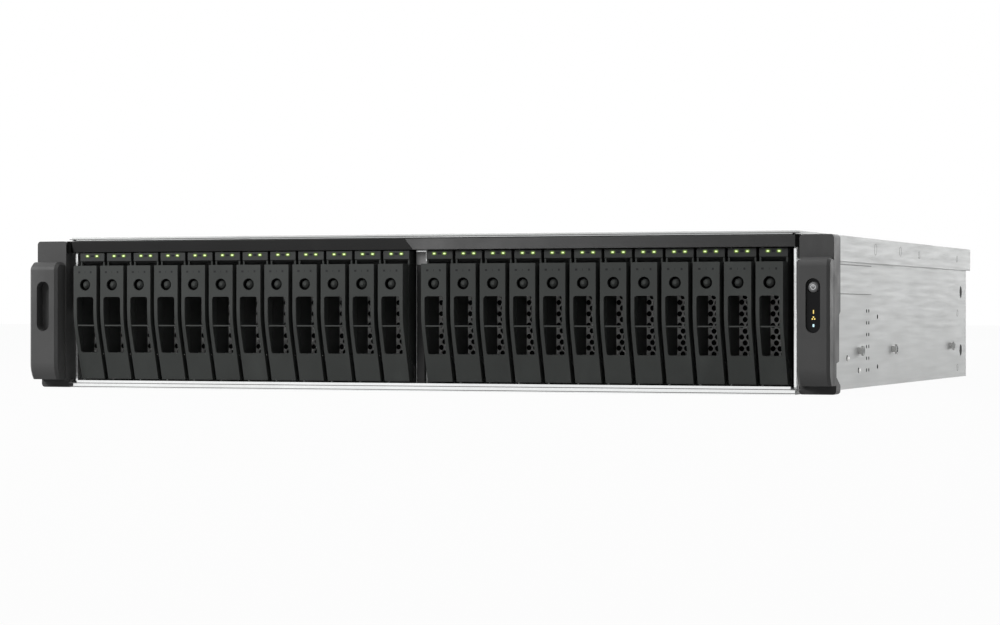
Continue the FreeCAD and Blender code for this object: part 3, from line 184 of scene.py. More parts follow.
sheet = bmesh.new()
bmesh.ops.create_grid(sheet, x_segments=1, y_segments=1, size=FLOOR_HALF)
floor_mesh = bpy.data.meshes.new("floor")
sheet.to_mesh(floor_mesh)
sheet.free()
floor = bpy.data.objects.new("floor", floor_mesh)
floor.data.transform(Matrix.Translation((0, 0, size_before[0].z - FLOOR_DROP)))
scene.collection.objects.link(floor)
floor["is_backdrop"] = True

paper = bpy.data.materials.new("studio paper")
paper.use_nodes = True
tree = paper.node_tree
tree.nodes.clear()
matt = tree.nodes.new("ShaderNodeBsdfDiffuse")
matt.inputs["Color"].default_value = (FLOOR_GREY, FLOOR_GREY, FLOOR_GREY, 1)
glow = tree.nodes.new("ShaderNodeEmission")
glow.inputs["Color"].default_value = (1, 1, 1, 1)
share = tree.nodes.new("ShaderNodeMath")
share.operation = "MULTIPLY"
share.inputs[1].default_value = FLOOR_WHITE
choice = tree.nodes.new("ShaderNodeMixShader")
out = tree.nodes.new("ShaderNodeOutputMaterial")
tree.links.new(seen_directly(tree), share.inputs[0])
tree.links.new(share.outputs[0], choice.inputs[0])
tree.links.new(matt.outputs[0], choice.inputs[1])
tree.links.new(glow.outputs[0], choice.inputs[2])
tree.links.new(choice.outputs[0], out.inputs["Surface"])
floor_mesh.materials.append(paper)
print("floor", 2 * FLOOR_HALF, "m wide")

# %% [markdown]
# ## Finishes
#
# Three families cover nearly everything here: zinc-coated sheet, dark moulding with a fine
# spark-eroded texture, and small glossy parts. Each finish is built from nodes that read Object
# coordinates, so the pattern stays put on the piece and keeps its real scale. Two noises do most of
# the work: a coarse one shifts the colour a little, as real batches and handling do, and a fine one
# feeds the bump, which is what makes a moulding look like a moulding and not like paper.


# %% Node helpers
def pattern(tree, scale, detail=3.0, stretch=(1, 1, 1)):
    """Noise on Object coordinates, from 0 to 1; the scale is in waves per metre."""
    place = tree.nodes.new("ShaderNodeTexCoord")
    fit = tree.nodes.new("ShaderNodeMapping")
    fit.inputs["Scale"].default_value = stretch
    noise = tree.nodes.new("ShaderNodeTexNoise")
    noise.inputs["Scale"].default_value = scale
    noise.inputs["Detail"].default_value = detail
    tree.links.new(place.outputs["Object"], fit.inputs["Vector"])
    tree.links.new(fit.outputs["Vector"], noise.inputs["Vector"])
    return noise.outputs["Fac"]


def between(tree, value, low, high):
    """Spreads the middle of a noise over a range, for a roughness."""
    spread = tree.nodes.new("ShaderNodeMapRange")
    spread.inputs["From Min"].default_value = 0.3
    spread.inputs["From Max"].default_value = 0.7
    spread.inputs["To Min"].default_value = low
    spread.inputs["To Max"].default_value = high
    tree.links.new(value, spread.inputs["Value"])
    return spread.outputs["Result"]


def shades(tree, value, dark, light):
    """Turns a noise into a colour between two shades."""
    ramp = tree.nodes.new("ShaderNodeValToRGB")
    ramp.color_ramp.elements[0].position = 0.3
    ramp.color_ramp.elements[1].position = 0.7
    ramp.color_ramp.elements[0].color = (*dark, 1)
    ramp.color_ramp.elements[1].color = (*light, 1)
    tree.links.new(value, ramp.inputs["Fac"])
    return ramp.outputs["Color"]


def relief(tree, value, shader, depth, strength):
    """Feeds a noise to the shader's normal as a bump of a given depth in metres."""
    bump = tree.nodes.new("ShaderNodeBump")
    bump.inputs["Strength"].default_value = strength
    bump.inputs["Distance"].default_value = depth
    tree.links.new(value, bump.inputs["Height"])
    tree.links.new(bump.outputs["Normal"], shader.inputs["Normal"])


def worn(tree, colour, scuffed, amount, scale=45, stretch=(1, 1, 0.25)):
    """Lays faint scuffs of another shade over a colour, where a noise is at its highest."""
    mask = tree.nodes.new("ShaderNodeMapRange")
    mask.inputs["From Min"].default_value = 0.56
    mask.inputs["From Max"].default_value = 0.72
    mask.inputs["To Max"].default_value = amount
    tree.links.new(pattern(tree, scale, 8.0, stretch), mask.inputs["Value"])
    blend = tree.nodes.new("ShaderNodeMix")
    blend.data_type = "RGBA"
    blend.inputs["B"].default_value = (*scuffed, 1)
    tree.links.new(mask.outputs["Result"], blend.inputs["Factor"])
    tree.links.new(colour, blend.inputs["A"])
    return blend.outputs["Result"]


def blank_finish(name, metallic=0.0):
    """A new material with its node tree and its shader."""
    finish = bpy.data.materials.new(name)
    finish.use_nodes = True
    shader = finish.node_tree.nodes["Principled BSDF"]
    shader.inputs["Metallic"].default_value = metallic
    return finish, finish.node_tree, shader


print("node helpers ready")


# %% Moulded plastics
# How fine the noises are, in waves per metre.
CLOUD_WAVES, GLOSS_WAVES, GRAIN_WAVES = 26, 90, 2600
COAT_WAVES, STREAK_WAVES = 14, 420


def moulding(name, colour, gloss=(0.46, 0.58), tint=0.10, grain=0.00004, sheen=0.15):
    """Dark moulding: cloudy colour, spark-eroded grain and slightly uneven gloss."""
    finish, tree, shader = blank_finish(name)
    shader.inputs["Specular IOR Level"].default_value = sheen
    cloud = pattern(tree, CLOUD_WAVES)
    dark = [value * (1 - tint) for value in colour]
    light = [value * (1 + tint) for value in colour]
    scuffed = [value * 1.7 for value in colour]
    tree.links.new(worn(tree, shades(tree, cloud, dark, light), scuffed, 0.35),
                   shader.inputs["Base Color"])
    tree.links.new(between(tree, pattern(tree, GLOSS_WAVES), *gloss), shader.inputs["Roughness"])
    relief(tree, pattern(tree, GRAIN_WAVES, 2.0), shader, grain, 0.5)
    return finish


lever_black = moulding("lever moulding", (0.043, 0.046, 0.044))
tray_black = moulding("tray moulding", (0.044, 0.046, 0.045))
# The air plate's pale grey is partly its own colour and partly painted light, set lighter to make
# up for the shade of its tunnel.
lightened_plate_grey = moulding("air plate moulding, painted lighter", (0.68, 0.68, 0.67), sheen=0.3)
ear_grey = moulding("ear moulding", (0.066, 0.066, 0.066), gloss=(0.40, 0.52))
bar_black = moulding("bezel moulding", (0.014, 0.014, 0.014), gloss=(0.28, 0.36), sheen=0.22)
post_black = moulding("divider moulding", (0.014, 0.014, 0.014), sheen=0.2)
# Flat black with no reflection at all, laid in holes, gaps and recesses as painted shade.
painted_shade_black = moulding("shadowed plastic", (0.006, 0.006, 0.006), gloss=(0.6, 0.7), sheen=0.0)
socket_black = moulding("socket moulding", (0.014, 0.014, 0.015), gloss=(0.5, 0.6))
print("eight mouldings")


# %% Sheet metals
def sheet_metal(name, colour, gloss, metallic, brushed=(1, 1, 1), sheen=0.5, tint=0.05,
                depth=0.00003):
    """Sheet with a cloudy coat, and streaks along the axis whose stretch is smallest."""
    finish, tree, shader = blank_finish(name, metallic)
    shader.inputs["Specular IOR Level"].default_value = sheen
    cloud = pattern(tree, COAT_WAVES, 5.0)
    dark = [value * (1 - tint) for value in colour]
    light = [value * (1 + tint) for value in colour]
    handled = [value * 0.82 for value in colour]
    tree.links.new(worn(tree, shades(tree, cloud, dark, light), handled, 0.4, 30, brushed),
                   shader.inputs["Base Color"])
    streak = pattern(tree, STREAK_WAVES, 4.0, brushed)
    tree.links.new(between(tree, streak, *gloss), shader.inputs["Roughness"])
    relief(tree, streak, shader, depth, 0.35)
    return finish


zinc = sheet_metal("zinc sheet", (0.48, 0.49, 0.485), (0.42, 0.55), 0.45, brushed=(1, 0.05, 1))
module_zinc = sheet_metal("module sheet", (0.55, 0.56, 0.56), (0.38, 0.50), 0.65,
                          brushed=(0.05, 1, 1))
drive_alloy = sheet_metal("drive casting", (0.50, 0.51, 0.52), (0.32, 0.42), 0.85,
                          brushed=(1, 0.2, 1))
# A pale, polished zinc for edges that catch the light: partly bright cut metal, partly painted
# highlight.
edge_highlight_zinc = sheet_metal("cut edge highlight", (0.86, 0.87, 0.87), (0.16, 0.24), 0.9)
# Dark grey strips along edges and hems are painted shade.
edge_shade_grey = sheet_metal("seam shadow", (0.16, 0.16, 0.16), (0.6, 0.7), 0.2)
# A mid grey for the rims of dimples and the metal over the post, as painted shade.
dent_shade_grey = sheet_metal("dent shadow", (0.30, 0.30, 0.30), (0.6, 0.7), 0.2)
screw_steel = sheet_metal("screw steel", (0.56, 0.56, 0.55), (0.22, 0.34), 0.95)
# Faces that look up take this duller, darker copy of the zinc: painted shade that keeps the lamps
# from being mirrored in them.
shaded_top_zinc = sheet_metal("shaded top sheet", (0.42, 0.43, 0.425), (0.62, 0.72), 0.15,
                         brushed=(1, 0.05, 1), sheen=0.2)
fan_wire = sheet_metal("fan guard wire", (0.50, 0.50, 0.50), (0.25, 0.35), 0.9)
print("nine metals")


# %% Circuit board, lens and lights
def board_finish():
    """Green solder mask with fine tracks under it."""
    finish, tree, shader = blank_finish("circuit board")
    tracks = pattern(tree, 380, 1.0, (1, 1, 0.12))
    tree.links.new(shades(tree, tracks, (0.004, 0.075, 0.035), (0.010, 0.120, 0.055)),
                   shader.inputs["Base Color"])
    tree.links.new(between(tree, tracks, 0.30, 0.42), shader.inputs["Roughness"])
    relief(tree, tracks, shader, 0.00003, 0.4)
    return finish


def glossy(name, colour, roughness, shine=0.5):
    """Smooth glossy part with a faint unevenness of its polish."""
    finish, tree, shader = blank_finish(name)
    cloud = pattern(tree, 60)
    dark = [value * 0.9 for value in colour]
    tree.links.new(shades(tree, cloud, dark, colour), shader.inputs["Base Color"])
    tree.links.new(between(tree, cloud, roughness, roughness + 0.06), shader.inputs["Roughness"])
    shader.inputs["Specular IOR Level"].default_value = shine
    return finish


def lit(name, colour, glow_colour, strength):
    """A light-pipe: its own plastic colour, and light that comes out of it."""
    finish, tree, shader = blank_finish(name)
    cloud = pattern(tree, 900)
    dark = [value * 0.8 for value in colour]
    tree.links.new(shades(tree, cloud, dark, colour), shader.inputs["Base Color"])
    shader.inputs["Roughness"].default_value = 0.3
    shader.inputs["Emission Color"].default_value = (*glow_colour, 1)
    shader.inputs["Emission Strength"].default_value = strength
    return finish


board_green = board_finish()
window_black = glossy("window gloss", (0.006, 0.006, 0.007), 0.10, 0.12)
button_grey = glossy("button lens", (0.15, 0.15, 0.155), 0.25, 0.4)
button_white = glossy("button mark", (0.70, 0.71, 0.72), 0.30)
lamp_core = lit("tray light core", (0.45, 0.55, 0.26), (0.78, 0.95, 0.46), 0.95)
lamp_green = lit("tray light", (0.05, 0.08, 0.005), (0.14, 0.24, 0.01), 0.8)
lamp_ring = lit("tray light surround", (0.004, 0.008, 0.001), (0.012, 0.030, 0.001), 0.3)
lamp_off = glossy("unlit light", (0.006, 0.006, 0.012), 0.25, 0.2)
lamp_amber = lit("amber light", (0.45, 0.34, 0.08), (0.95, 0.70, 0.18), 0.9)
lamp_white = lit("white light", (0.35, 0.45, 0.48), (0.55, 0.85, 0.95), 0.8)
print("board, gloss and six lights")

# %% [markdown]
# ## Tools for shaping
#
# The small parts fall into a few kinds. A tile is a rounded rectangle with some thickness: lights,
# labels left blank, frames. A turned part is a profile spun round a line: buttons, screw heads,
# rings. A block is a plain bar between two corners, which gets its soft edges at the end. Writing
# each kind once keeps the rest of the lesson about the object and not about vertices.

# %% Shapes
FRONT, REAR = Vector((0, -1, 0)), Vector((0, 1, 0))
RIGHT, LEFT = Vector((1, 0, 0)), Vector((-1, 0, 0))


def facing_place(middle, facing):
    """The matrix that lays a flat drawing at a place, its upper side turned to a direction."""
    turn = facing.to_track_quat("Z", "Y").to_matrix().to_4x4()
    if facing in (FRONT, REAR):
        turn = Matrix.Rotation(math.radians(90 if facing == FRONT else -90), 4, "X")
    return Matrix.Translation(middle) @ turn


def block(shape, corner, opposite):
    """A bar between two opposite corners."""
    made = bmesh.ops.create_cube(shape, size=1)["verts"]
    low, high = (Vector(map(pick, corner, opposite)) for pick in (min, max))
    bmesh.ops.scale(shape, vec=high - low, verts=made)
    bmesh.ops.translate(shape, vec=(low + high) / 2, verts=made)


def rounded_face(shape, width, height, corner, steps=4):
    """A flat face lying at the origin, its corners rounded; returns the face."""
    before = set(shape.faces)
    made = bmesh.ops.create_grid(shape, x_segments=1, y_segments=1, size=0.5)["verts"]
    bmesh.ops.scale(shape, vec=(width, height, 1), verts=made)
    if corner:
        bmesh.ops.bevel(shape, geom=made, offset=corner, offset_type="OFFSET", segments=steps,
                        profile=0.5, affect="VERTICES", material=-1)
    return [face for face in shape.faces if face not in before][0]


def tile(shape, middle, width, height, corner, thick, facing, steps=4):
    """A rounded plate whose back lies on the middle point; returns its outer face."""
    face = rounded_face(shape, width, height, corner, steps)
    grown = bmesh.ops.extrude_face_region(shape, geom=[face], use_keep_orig=True)["geom"]
    raised = [item for item in grown if isinstance(item, bmesh.types.BMVert)]
    outer = [item for item in grown if isinstance(item, bmesh.types.BMFace)][0]
    bmesh.ops.translate(shape, vec=(0, 0, thick), verts=raised)
    bmesh.ops.transform(shape, matrix=facing_place(middle, facing),
                        verts=list(set(raised) | set(face.verts)))
    return outer


def turned(shape, profile, middle, facing, steps=32):
    """Spins a profile of (radius, outward) points round the line through the middle."""
    before = set(shape.verts)
    drawn = [shape.verts.new((radius, 0, outward)) for radius, outward in profile]
    drawn_edges = [shape.edges.new(pair) for pair in zip(drawn, drawn[1:])]
    bmesh.ops.spin(shape, geom=drawn + drawn_edges, cent=(0, 0, 0), axis=(0, 0, 1),
                   dvec=(0, 0, 0), angle=2 * math.pi, steps=steps, use_merge=True,
                   use_normal_flip=False, use_duplicate=False)
    made = [vert for vert in shape.verts if vert not in before]
    bmesh.ops.transform(shape, matrix=facing_place(middle, facing), verts=made)
    bmesh.ops.remove_doubles(shape, verts=made, dist=0.0005)


SCREW_HEAD = [(0, 0.3), (0.9, 0.35), (1.1, 0.9), (2.2, 0.75), (2.6, 0.1), (2.6, -0.2)]


def take_in(shape, extra, place):
    """Adds a second shape to the first at a place, and frees it."""
    bmesh.ops.transform(extra, matrix=place, verts=extra.verts)
    passing = bpy.data.meshes.new("passing")
    extra.to_mesh(passing)
    extra.free()
    shape.from_mesh(passing)
    bpy.data.meshes.remove(passing)


print("block, tile, turned and screw")


# %% From shape to piece
def finished_mesh(shape, name, finishes, wall=0.0, edge=0.0, fold=28, closed=True):
    """A mesh in metres from a shape in millimetres, with its wall and its soft edges applied."""
    if closed:
        bmesh.ops.recalc_face_normals(shape, faces=shape.faces)
    bmesh.ops.transform(shape, matrix=SEAT, verts=shape.verts)
    mesh = bpy.data.meshes.new(name)
    shape.to_mesh(mesh)
    shape.free()
    for finish in finishes:
        mesh.materials.append(finish)
    mesh.shade_smooth()
    mesh.set_sharp_from_angle(angle=math.radians(fold))
    if not (wall or edge):
        return mesh
    bench = bpy.data.objects.new(name, mesh)
    scene.collection.objects.link(bench)
    if wall:
        shell = bench.modifiers.new("wall", "SOLIDIFY")
        shell.thickness, shell.offset, shell.use_even_offset = wall * MM, -1, True
    if edge:
        soft = bench.modifiers.new("edges", "BEVEL")
        soft.width, soft.segments = edge * MM, 2
        soft.limit_method, soft.angle_limit = "ANGLE", math.radians(38)
        even = bench.modifiers.new("even shading", "WEIGHTED_NORMAL")
        even.keep_sharp = True
    ready = bench.evaluated_get(bpy.context.evaluated_depsgraph_get())
    plain = bpy.data.meshes.new_from_object(ready)
    plain.name = name
    bpy.data.objects.remove(bench)
    return plain


def show(mesh, name, body, slot, *stands_for):
    """Puts a finished mesh in the scene as a piece that rides on a body."""
    thing = bpy.data.objects.new(name, mesh)
    scene.collection.objects.link(thing)
    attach(thing, body)
    if stands_for:
        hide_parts(*stands_for)
    return thing


def piece(shape, name, finishes, body, slot, *stands_for, **easing):
    """Finishes a shape and shows it, where the mesh and the piece have one name."""
    return show(finished_mesh(shape, name, finishes, **easing), name, body, slot, *stands_for)


def bay_pieces(shape, name, finishes, body, stands_for=None, **easing):
    """Finishes a shape that is drawn about the middle, and shows it in all twenty-four bays."""
    mesh = finished_mesh(shape, name, finishes, **easing)
    for bay, across in bay_middles.items():
        copy = mesh.copy()
        copy.transform(Matrix.Translation((across * MM, 0, 0)))
        replaced = [f"{stands_for}_{bay}"] if stands_for else []
        show(copy, f"{name}_{bay}", f"{body}_{bay}", f"{body}_moulding", *replaced)
    print(f"{name}: {len(mesh.polygons)} faces in each bay")
    return mesh


def joined_copy(node, across=0.0):
    """A CAD node as a shape in millimetres, its triangles joined up into whole faces."""
    shape = bmesh.new()
    shape.from_mesh(nodes[node].data)
    bmesh.ops.transform(shape, matrix=SEAT.inverted(), verts=shape.verts)
    bmesh.ops.translate(shape, vec=(-across, 0, 0), verts=shape.verts)
    bmesh.ops.remove_doubles(shape, verts=shape.verts, dist=0.001)
    bmesh.ops.dissolve_limit(shape, angle_limit=math.radians(0.5), verts=shape.verts,
                             edges=shape.edges)
    return shape


def loose_parts(node, across=0.0):
    """The separate solids of a CAD node as joined shapes in millimetres, largest box first."""
    whole = joined_copy(node, across)
    left = set(whole.faces)
    groups = []
    while left:
        group, edge_of = set(), [left.pop()]
        while edge_of:
            face = edge_of.pop()
            group.add(face.index)
            for edge in face.edges:
                for other in edge.link_faces:
                    if other in left:
                        left.remove(other)
                        edge_of.append(other)
        groups.append(group)
    parts = []
    for group in groups:
        part = whole.copy()
        part.faces.ensure_lookup_table()
        others = [face for face in part.faces if face.index not in group]
        bmesh.ops.delete(part, geom=others, context="FACES")
        parts.append(part)
    whole.free()
    return sorted(parts, key=box_size, reverse=True)


def box_size(shape):
    """Volume of the box round a shape."""
    corners = [[vert.co[axis] for vert in shape.verts] for axis in range(3)]
    return math.prod(max(values) - min(values) for values in corners)


print("piece helpers ready")

# %% [markdown]
# ## Tray levers
#
# The lever is the shelf's face: upright at the top, round a bend and leaning back to its hinge,
# with a window for the air and a round release button. The real one is a shell moulding, so it is
# made as a sheet: an outline with the window and the button's bore left open, filled, cut across at
# many heights so that it can bend, given cheeks by extruding its rim, and only then thickened. The
# long front edges get a generous bevel before that, because the highlight on them is what separates
# one lever from the next.

# %% Lever measures
lever_low, lever_high = local_box("carrier_lever_01")
LEVER_HALF = (lever_high.x - lever_low.x) / 2
LEVER_FRONT = lever_low.y
LEVER_TOP, LEVER_FOOT = lever_high.z, lever_low.z
LOBE_BACK = lever_high.y
BEND_TOP, BEND_RADIUS, LEAN = 46.4, 50.0, math.radians(17)
CHEEK_BACK = 3.2
SHOULDER, LOBE_TOP, LOBE_FOOT = 20.0, 12.5, 7.0
WINDOW_HALF, WINDOW_TOP, WINDOW_FOOT, WINDOW_CORNER = 5.5, 53.5, 20.6, 1.4
RELEASE_UP, RELEASE_BORE, RELEASE_RADIUS = 60.6, 3.4, 2.3
SIDE_ROUND = 2.0
HINGE_BACK, HINGE_UP, PIN_RADIUS = 8.5, 9.5, 1.0
LEVER_WALL = 1.3


def face_back(up):
    """How far back the lever's face lies at a height."""
    drop = BEND_TOP - up
    arc_drop = BEND_RADIUS * math.sin(LEAN)
    if drop <= 0:
        return LEVER_FRONT
    if drop <= arc_drop:
        return LEVER_FRONT + BEND_RADIUS - math.sqrt(BEND_RADIUS ** 2 - drop ** 2)
    return (LEVER_FRONT + BEND_RADIUS * (1 - math.cos(LEAN))
            + (drop - arc_drop) * math.tan(LEAN))


def cheek_back(up):
    """Rear edge of the lever's cheeks at a height, widening to the hinge lobe."""
    if up >= SHOULDER:
        return CHEEK_BACK
    if up >= LOBE_TOP:
        return CHEEK_BACK + (LOBE_BACK - CHEEK_BACK) * (SHOULDER - up) / (SHOULDER - LOBE_TOP)
    if up >= LOBE_FOOT:
        return LOBE_BACK
    return LOBE_BACK - (LOBE_BACK - HINGE_BACK) * (LOBE_FOOT - up) / (LOBE_FOOT - LEVER_FOOT)


print(f"lever {2 * LEVER_HALF:.1f} mm wide, foot {face_back(LEVER_FOOT):.1f} mm back")


# %% Lever shell
def open_outline(shape, across, up, width, height, corner, steps=4):
    """Edges of a rounded rectangle in the X-Z plane."""
    before = set(shape.edges)
    face = rounded_face(shape, width, height, corner, steps)
    bmesh.ops.transform(shape, matrix=facing_place((across, 0, up), FRONT), verts=face.verts)
    bmesh.ops.delete(shape, geom=[face], context="FACES_ONLY")
    return [edge for edge in shape.edges if edge not in before]


def open_circle(shape, across, up, radius, steps):
    """Edges of a circle in the X-Z plane."""
    before = set(shape.edges)
    made = bmesh.ops.create_circle(shape, cap_ends=False, radius=radius, segments=steps)["verts"]
    bmesh.ops.transform(shape, matrix=facing_place((across, 0, up), FRONT), verts=made)
    return [edge for edge in shape.edges if edge not in before]


def filled_sheet(shape, drawn, back, facing):
    """Fills between drawn edges and moves the sheet back; its faces look one way."""
    bmesh.ops.triangle_fill(shape, use_beauty=True, use_dissolve=False, edges=drawn)
    bmesh.ops.translate(shape, vec=(0, back, 0), verts=shape.verts)
    bmesh.ops.recalc_face_normals(shape, faces=shape.faces)
    wrong = [face for face in shape.faces if face.normal.dot(facing) < 0]
    bmesh.ops.reverse_faces(shape, faces=wrong)


def lever_shell():
    """The lever as an open sheet: face, top wall and two cheeks, with rounded front edges."""
    shape = bmesh.new()
    height = LEVER_TOP - LEVER_FOOT
    drawn = open_outline(shape, 0, LEVER_FOOT + height / 2, 2 * LEVER_HALF, height, 0)
    drawn += open_outline(shape, 0, (WINDOW_TOP + WINDOW_FOOT) / 2, 2 * WINDOW_HALF,
                          WINDOW_TOP - WINDOW_FOOT, WINDOW_CORNER)
    drawn += open_circle(shape, 0, RELEASE_UP, RELEASE_BORE, 28)
    bmesh.ops.triangle_fill(shape, use_beauty=True, use_dissolve=False, edges=drawn)
    arc_foot = BEND_TOP - BEND_RADIUS * math.sin(LEAN)
    levels = [BEND_TOP - (BEND_TOP - arc_foot) * step / 8 for step in range(9)]
    for level in levels + [SHOULDER, LOBE_TOP, LOBE_FOOT]:
        bmesh.ops.bisect_plane(shape, geom=shape.verts[:] + shape.edges[:] + shape.faces[:],
                               dist=0.0001, plane_co=(0, 0, level), plane_no=(0, 0, 1))
    bmesh.ops.recalc_face_normals(shape, faces=shape.faces)
    if shape.faces[:][0].normal.y > 0:
        bmesh.ops.reverse_faces(shape, faces=shape.faces)
    near = 0.01
    rim = [edge for edge in shape.edges if edge.is_boundary and
           all(abs(vert.co.x) > LEVER_HALF - near for vert in edge.verts)
           and edge.verts[0].co.x * edge.verts[1].co.x > 0]
    grown = bmesh.ops.extrude_edge_only(shape, edges=rim)["geom"]
    behind = {item for item in grown if isinstance(item, bmesh.types.BMVert)}
    for vert in shape.verts:
        vert.co.y = cheek_back(vert.co.z) if vert in behind else face_back(vert.co.z)
    bmesh.ops.bevel(shape, geom=rim, offset=SIDE_ROUND, offset_type="OFFSET", segments=5,
                    profile=0.5, affect="EDGES", material=-1, clamp_overlap=True)
    top = [vert for vert in shape.verts if vert.co.z > LEVER_TOP - near]
    chain = [edge for edge in shape.edges if all(vert in top for vert in edge.verts)]
    bmesh.ops.contextual_create(shape, geom=top + chain)
    bmesh.ops.recalc_face_normals(shape, faces=shape.faces)
    bmesh.ops.remove_doubles(shape, verts=shape.verts, dist=0.001)
    return shape


shell = lever_shell()
forward = sum(face.normal.y < -0.5 for face in shell.faces)
print(f"shell {len(shell.faces)} faces, {forward} of them face forward")
lever_mesh = bay_pieces(shell, "tray_lever", [lever_black], "lever", "carrier_lever",
                        wall=LEVER_WALL, edge=0.25, closed=False)
print("lever spans", [round(max(vert.co[axis] for vert in lever_mesh.vertices)
                             - min(vert.co[axis] for vert in lever_mesh.vertices), 5)
                       for axis in range(3)])

# %% [markdown]
# ## Release button, crossbar and hinge
#
# The release button sits a little below the face and is domed, flat in the middle and falling back
# to its rim. A plate behind it closes the bore, and three faint marks stand above it.
# Two pins at the foot turn in the tray.

# %% Small parts of the lever
RELEASE_SUNK, RELEASE_LONG, PLATE_SUNK, PLATE_THICK, RELEASE_PLATE = 0.5, 2.1, 2.3, 0.6, 4
CROSSBAR_UP, CROSSBAR_THICK, CROSSBAR_DEEP = 36.8, 0.8, 1.1
MARKS_UP, MARKS = 68.0, ((-3.8, 1.4, 1.1), (0, 0.25, 1.2), (3.8, 1.1, 1.2))

parts = bmesh.new()
turned(parts, [(0, 0), (0.8, -0.02), (1.15, -0.45), (1.7, -0.75), (2.1, -1.2),
               (RELEASE_RADIUS, -1.6), (RELEASE_RADIUS, -RELEASE_LONG), (0, -RELEASE_LONG)],
       (0, LEVER_FRONT + RELEASE_SUNK, RELEASE_UP), FRONT, 28)
for side in (-1, 1):
    inner, outer = side * (LEVER_HALF - 2.2), side * (LEVER_HALF - LEVER_WALL / 2)
    turned(parts, [(0, 0), (PIN_RADIUS, 0), (PIN_RADIUS, abs(outer - inner)),
                   (0, abs(outer - inner))],
           (inner, HINGE_BACK, HINGE_UP), RIGHT if side > 0 else LEFT, 14)
bar_back = face_back(CROSSBAR_UP) + 0.35
block(parts, (-WINDOW_HALF - 0.3, bar_back, CROSSBAR_UP - CROSSBAR_THICK / 2),
      (WINDOW_HALF + 0.3, bar_back + CROSSBAR_DEEP, CROSSBAR_UP + CROSSBAR_THICK / 2))
bay_pieces(parts, "release_button", [lever_black], "lever")

# The plate behind the bore is flat black painted shade, so the gap round the button reads as a dark
# ring; the marks on it are print.
plate = bmesh.new()
plate_back = LEVER_FRONT + PLATE_SUNK
block(plate, (-RELEASE_PLATE - 0.2, plate_back, RELEASE_UP - RELEASE_PLATE),
      (RELEASE_PLATE + 0.2, plate_back + PLATE_THICK, RELEASE_UP + RELEASE_PLATE))
back_faces = set(plate.faces)
for across, wide, tall in MARKS:
    tile(plate, (across, LEVER_FRONT + 0.02, MARKS_UP), wide, tall, 0.1, 0.05, FRONT, 1)
for face in set(plate.faces) - back_faces:
    face.material_index = 1
bay_pieces(plate, "release_plate", [painted_shade_black, socket_black], "lever")

# %% [markdown]
# ## Trays, drives and cards
#
# The tray's own solid is already right, so a joined copy of it is used: its loose triangles are
# welded, flat faces are made whole, and a small bevel is put on every sharp edge. The drive and its
# card are separate solids in the same node, which is why each can have a metal or a board's finish.

# %% Tray, drive and card
tray, drive, card = loose_parts("drive_carrier_01", bay_middles["01"])
print([round(box_size(part)) for part in (tray, drive, card)])
bay_pieces(tray, "drive_tray", [tray_black], "carrier", "drive_carrier", edge=0.2)
bay_pieces(drive, "small_drive", [drive_alloy], "carrier", edge=0.5)
bay_pieces(card, "transition_card", [board_green], "carrier", edge=0.1)

# %% [markdown]
# ## Air plate and lights
#
# Behind each window, at the end of the tray's short tunnel, stands a plate with staggered round
# holes. It is drawn as one outline with all its circles and filled between them, so the holes are
# real. A wedge on each side narrows the tunnel towards it. Each cap carries two light-pipes, with
# an unlit dash between them, and each pipe is a stack of tiles that brighten towards the middle.

# %% Air plate
PLATE_BACK, PLATE_HALF, PLATE_FOOT, PLATE_TOP = 15.0, 6.75, 19.4, 70.5
HOLE_RADIUS, HOLE_PITCH, HOLE_RISE = 1.52, 3.9, 3.17
HOLE_ACROSS, HOLE_UP, HOLE_ROWS = -1.3, 21.44, 11
FUNNEL_HALF, FUNNEL_FRONT, FUNNEL_FOOT, FUNNEL_TIP = 4.5, 4.6, 21.0, 0.15
SHADE_SHEET_BACK, SHADE_SHEET_THICK = PLATE_BACK + 1.15, 0.15

plate = bmesh.new()
drawn = open_outline(plate, 0, (PLATE_FOOT + PLATE_TOP) / 2, 2 * PLATE_HALF,
                     PLATE_TOP - PLATE_FOOT, 0)
holes = 0
for level in range(HOLE_ROWS):
    shift = HOLE_PITCH / 2 if level % 2 else 0
    for column in (-1, 0, 1, 2):
        across = HOLE_ACROSS + shift + column * HOLE_PITCH
        if abs(across) < PLATE_HALF - HOLE_RADIUS - 0.15:
            drawn += open_circle(plate, across, HOLE_UP + level * HOLE_RISE, HOLE_RADIUS, 12)
            holes += 1
filled_sheet(plate, drawn, PLATE_BACK, FRONT)
print(holes, "holes")
# The plate's grey is partly painted light, lighter than the shade of its tunnel would leave it.
bay_pieces(plate, "air_plate", [lightened_plate_grey], "carrier", wall=1.0, closed=False)

funnel = bmesh.new()
for side in (-1, 1):
    block(funnel, (side * FUNNEL_HALF, FUNNEL_FRONT, FUNNEL_FOOT),
          (side * PLATE_HALF, PLATE_BACK, PLATE_TOP))
for vert in funnel.verts:
    if vert.co.y < PLATE_BACK - 1:
        vert.co.x = math.copysign(max(abs(vert.co.x), PLATE_HALF - FUNNEL_TIP), vert.co.x)
bay_pieces(funnel, "air_funnel", [tray_black], "carrier")

# A sheet of painted shade just behind the plate, so that the holes look into darkness.
shade_sheet = bmesh.new()
block(shade_sheet, (-PLATE_HALF, SHADE_SHEET_BACK, PLATE_FOOT),
      (PLATE_HALF, SHADE_SHEET_BACK + SHADE_SHEET_THICK, PLATE_TOP))
bay_pieces(shade_sheet, "air_hole_shade", [painted_shade_black], "carrier")

# %% Tray lights
tray_low = local_box("drive_carrier_01")[0]
CAP_FRONT, LIGHT_UP, LIGHT_APART = tray_low.y, 77.6, 3.11
CAP_FOOT, LEG_THICK = 75.9, 1.1


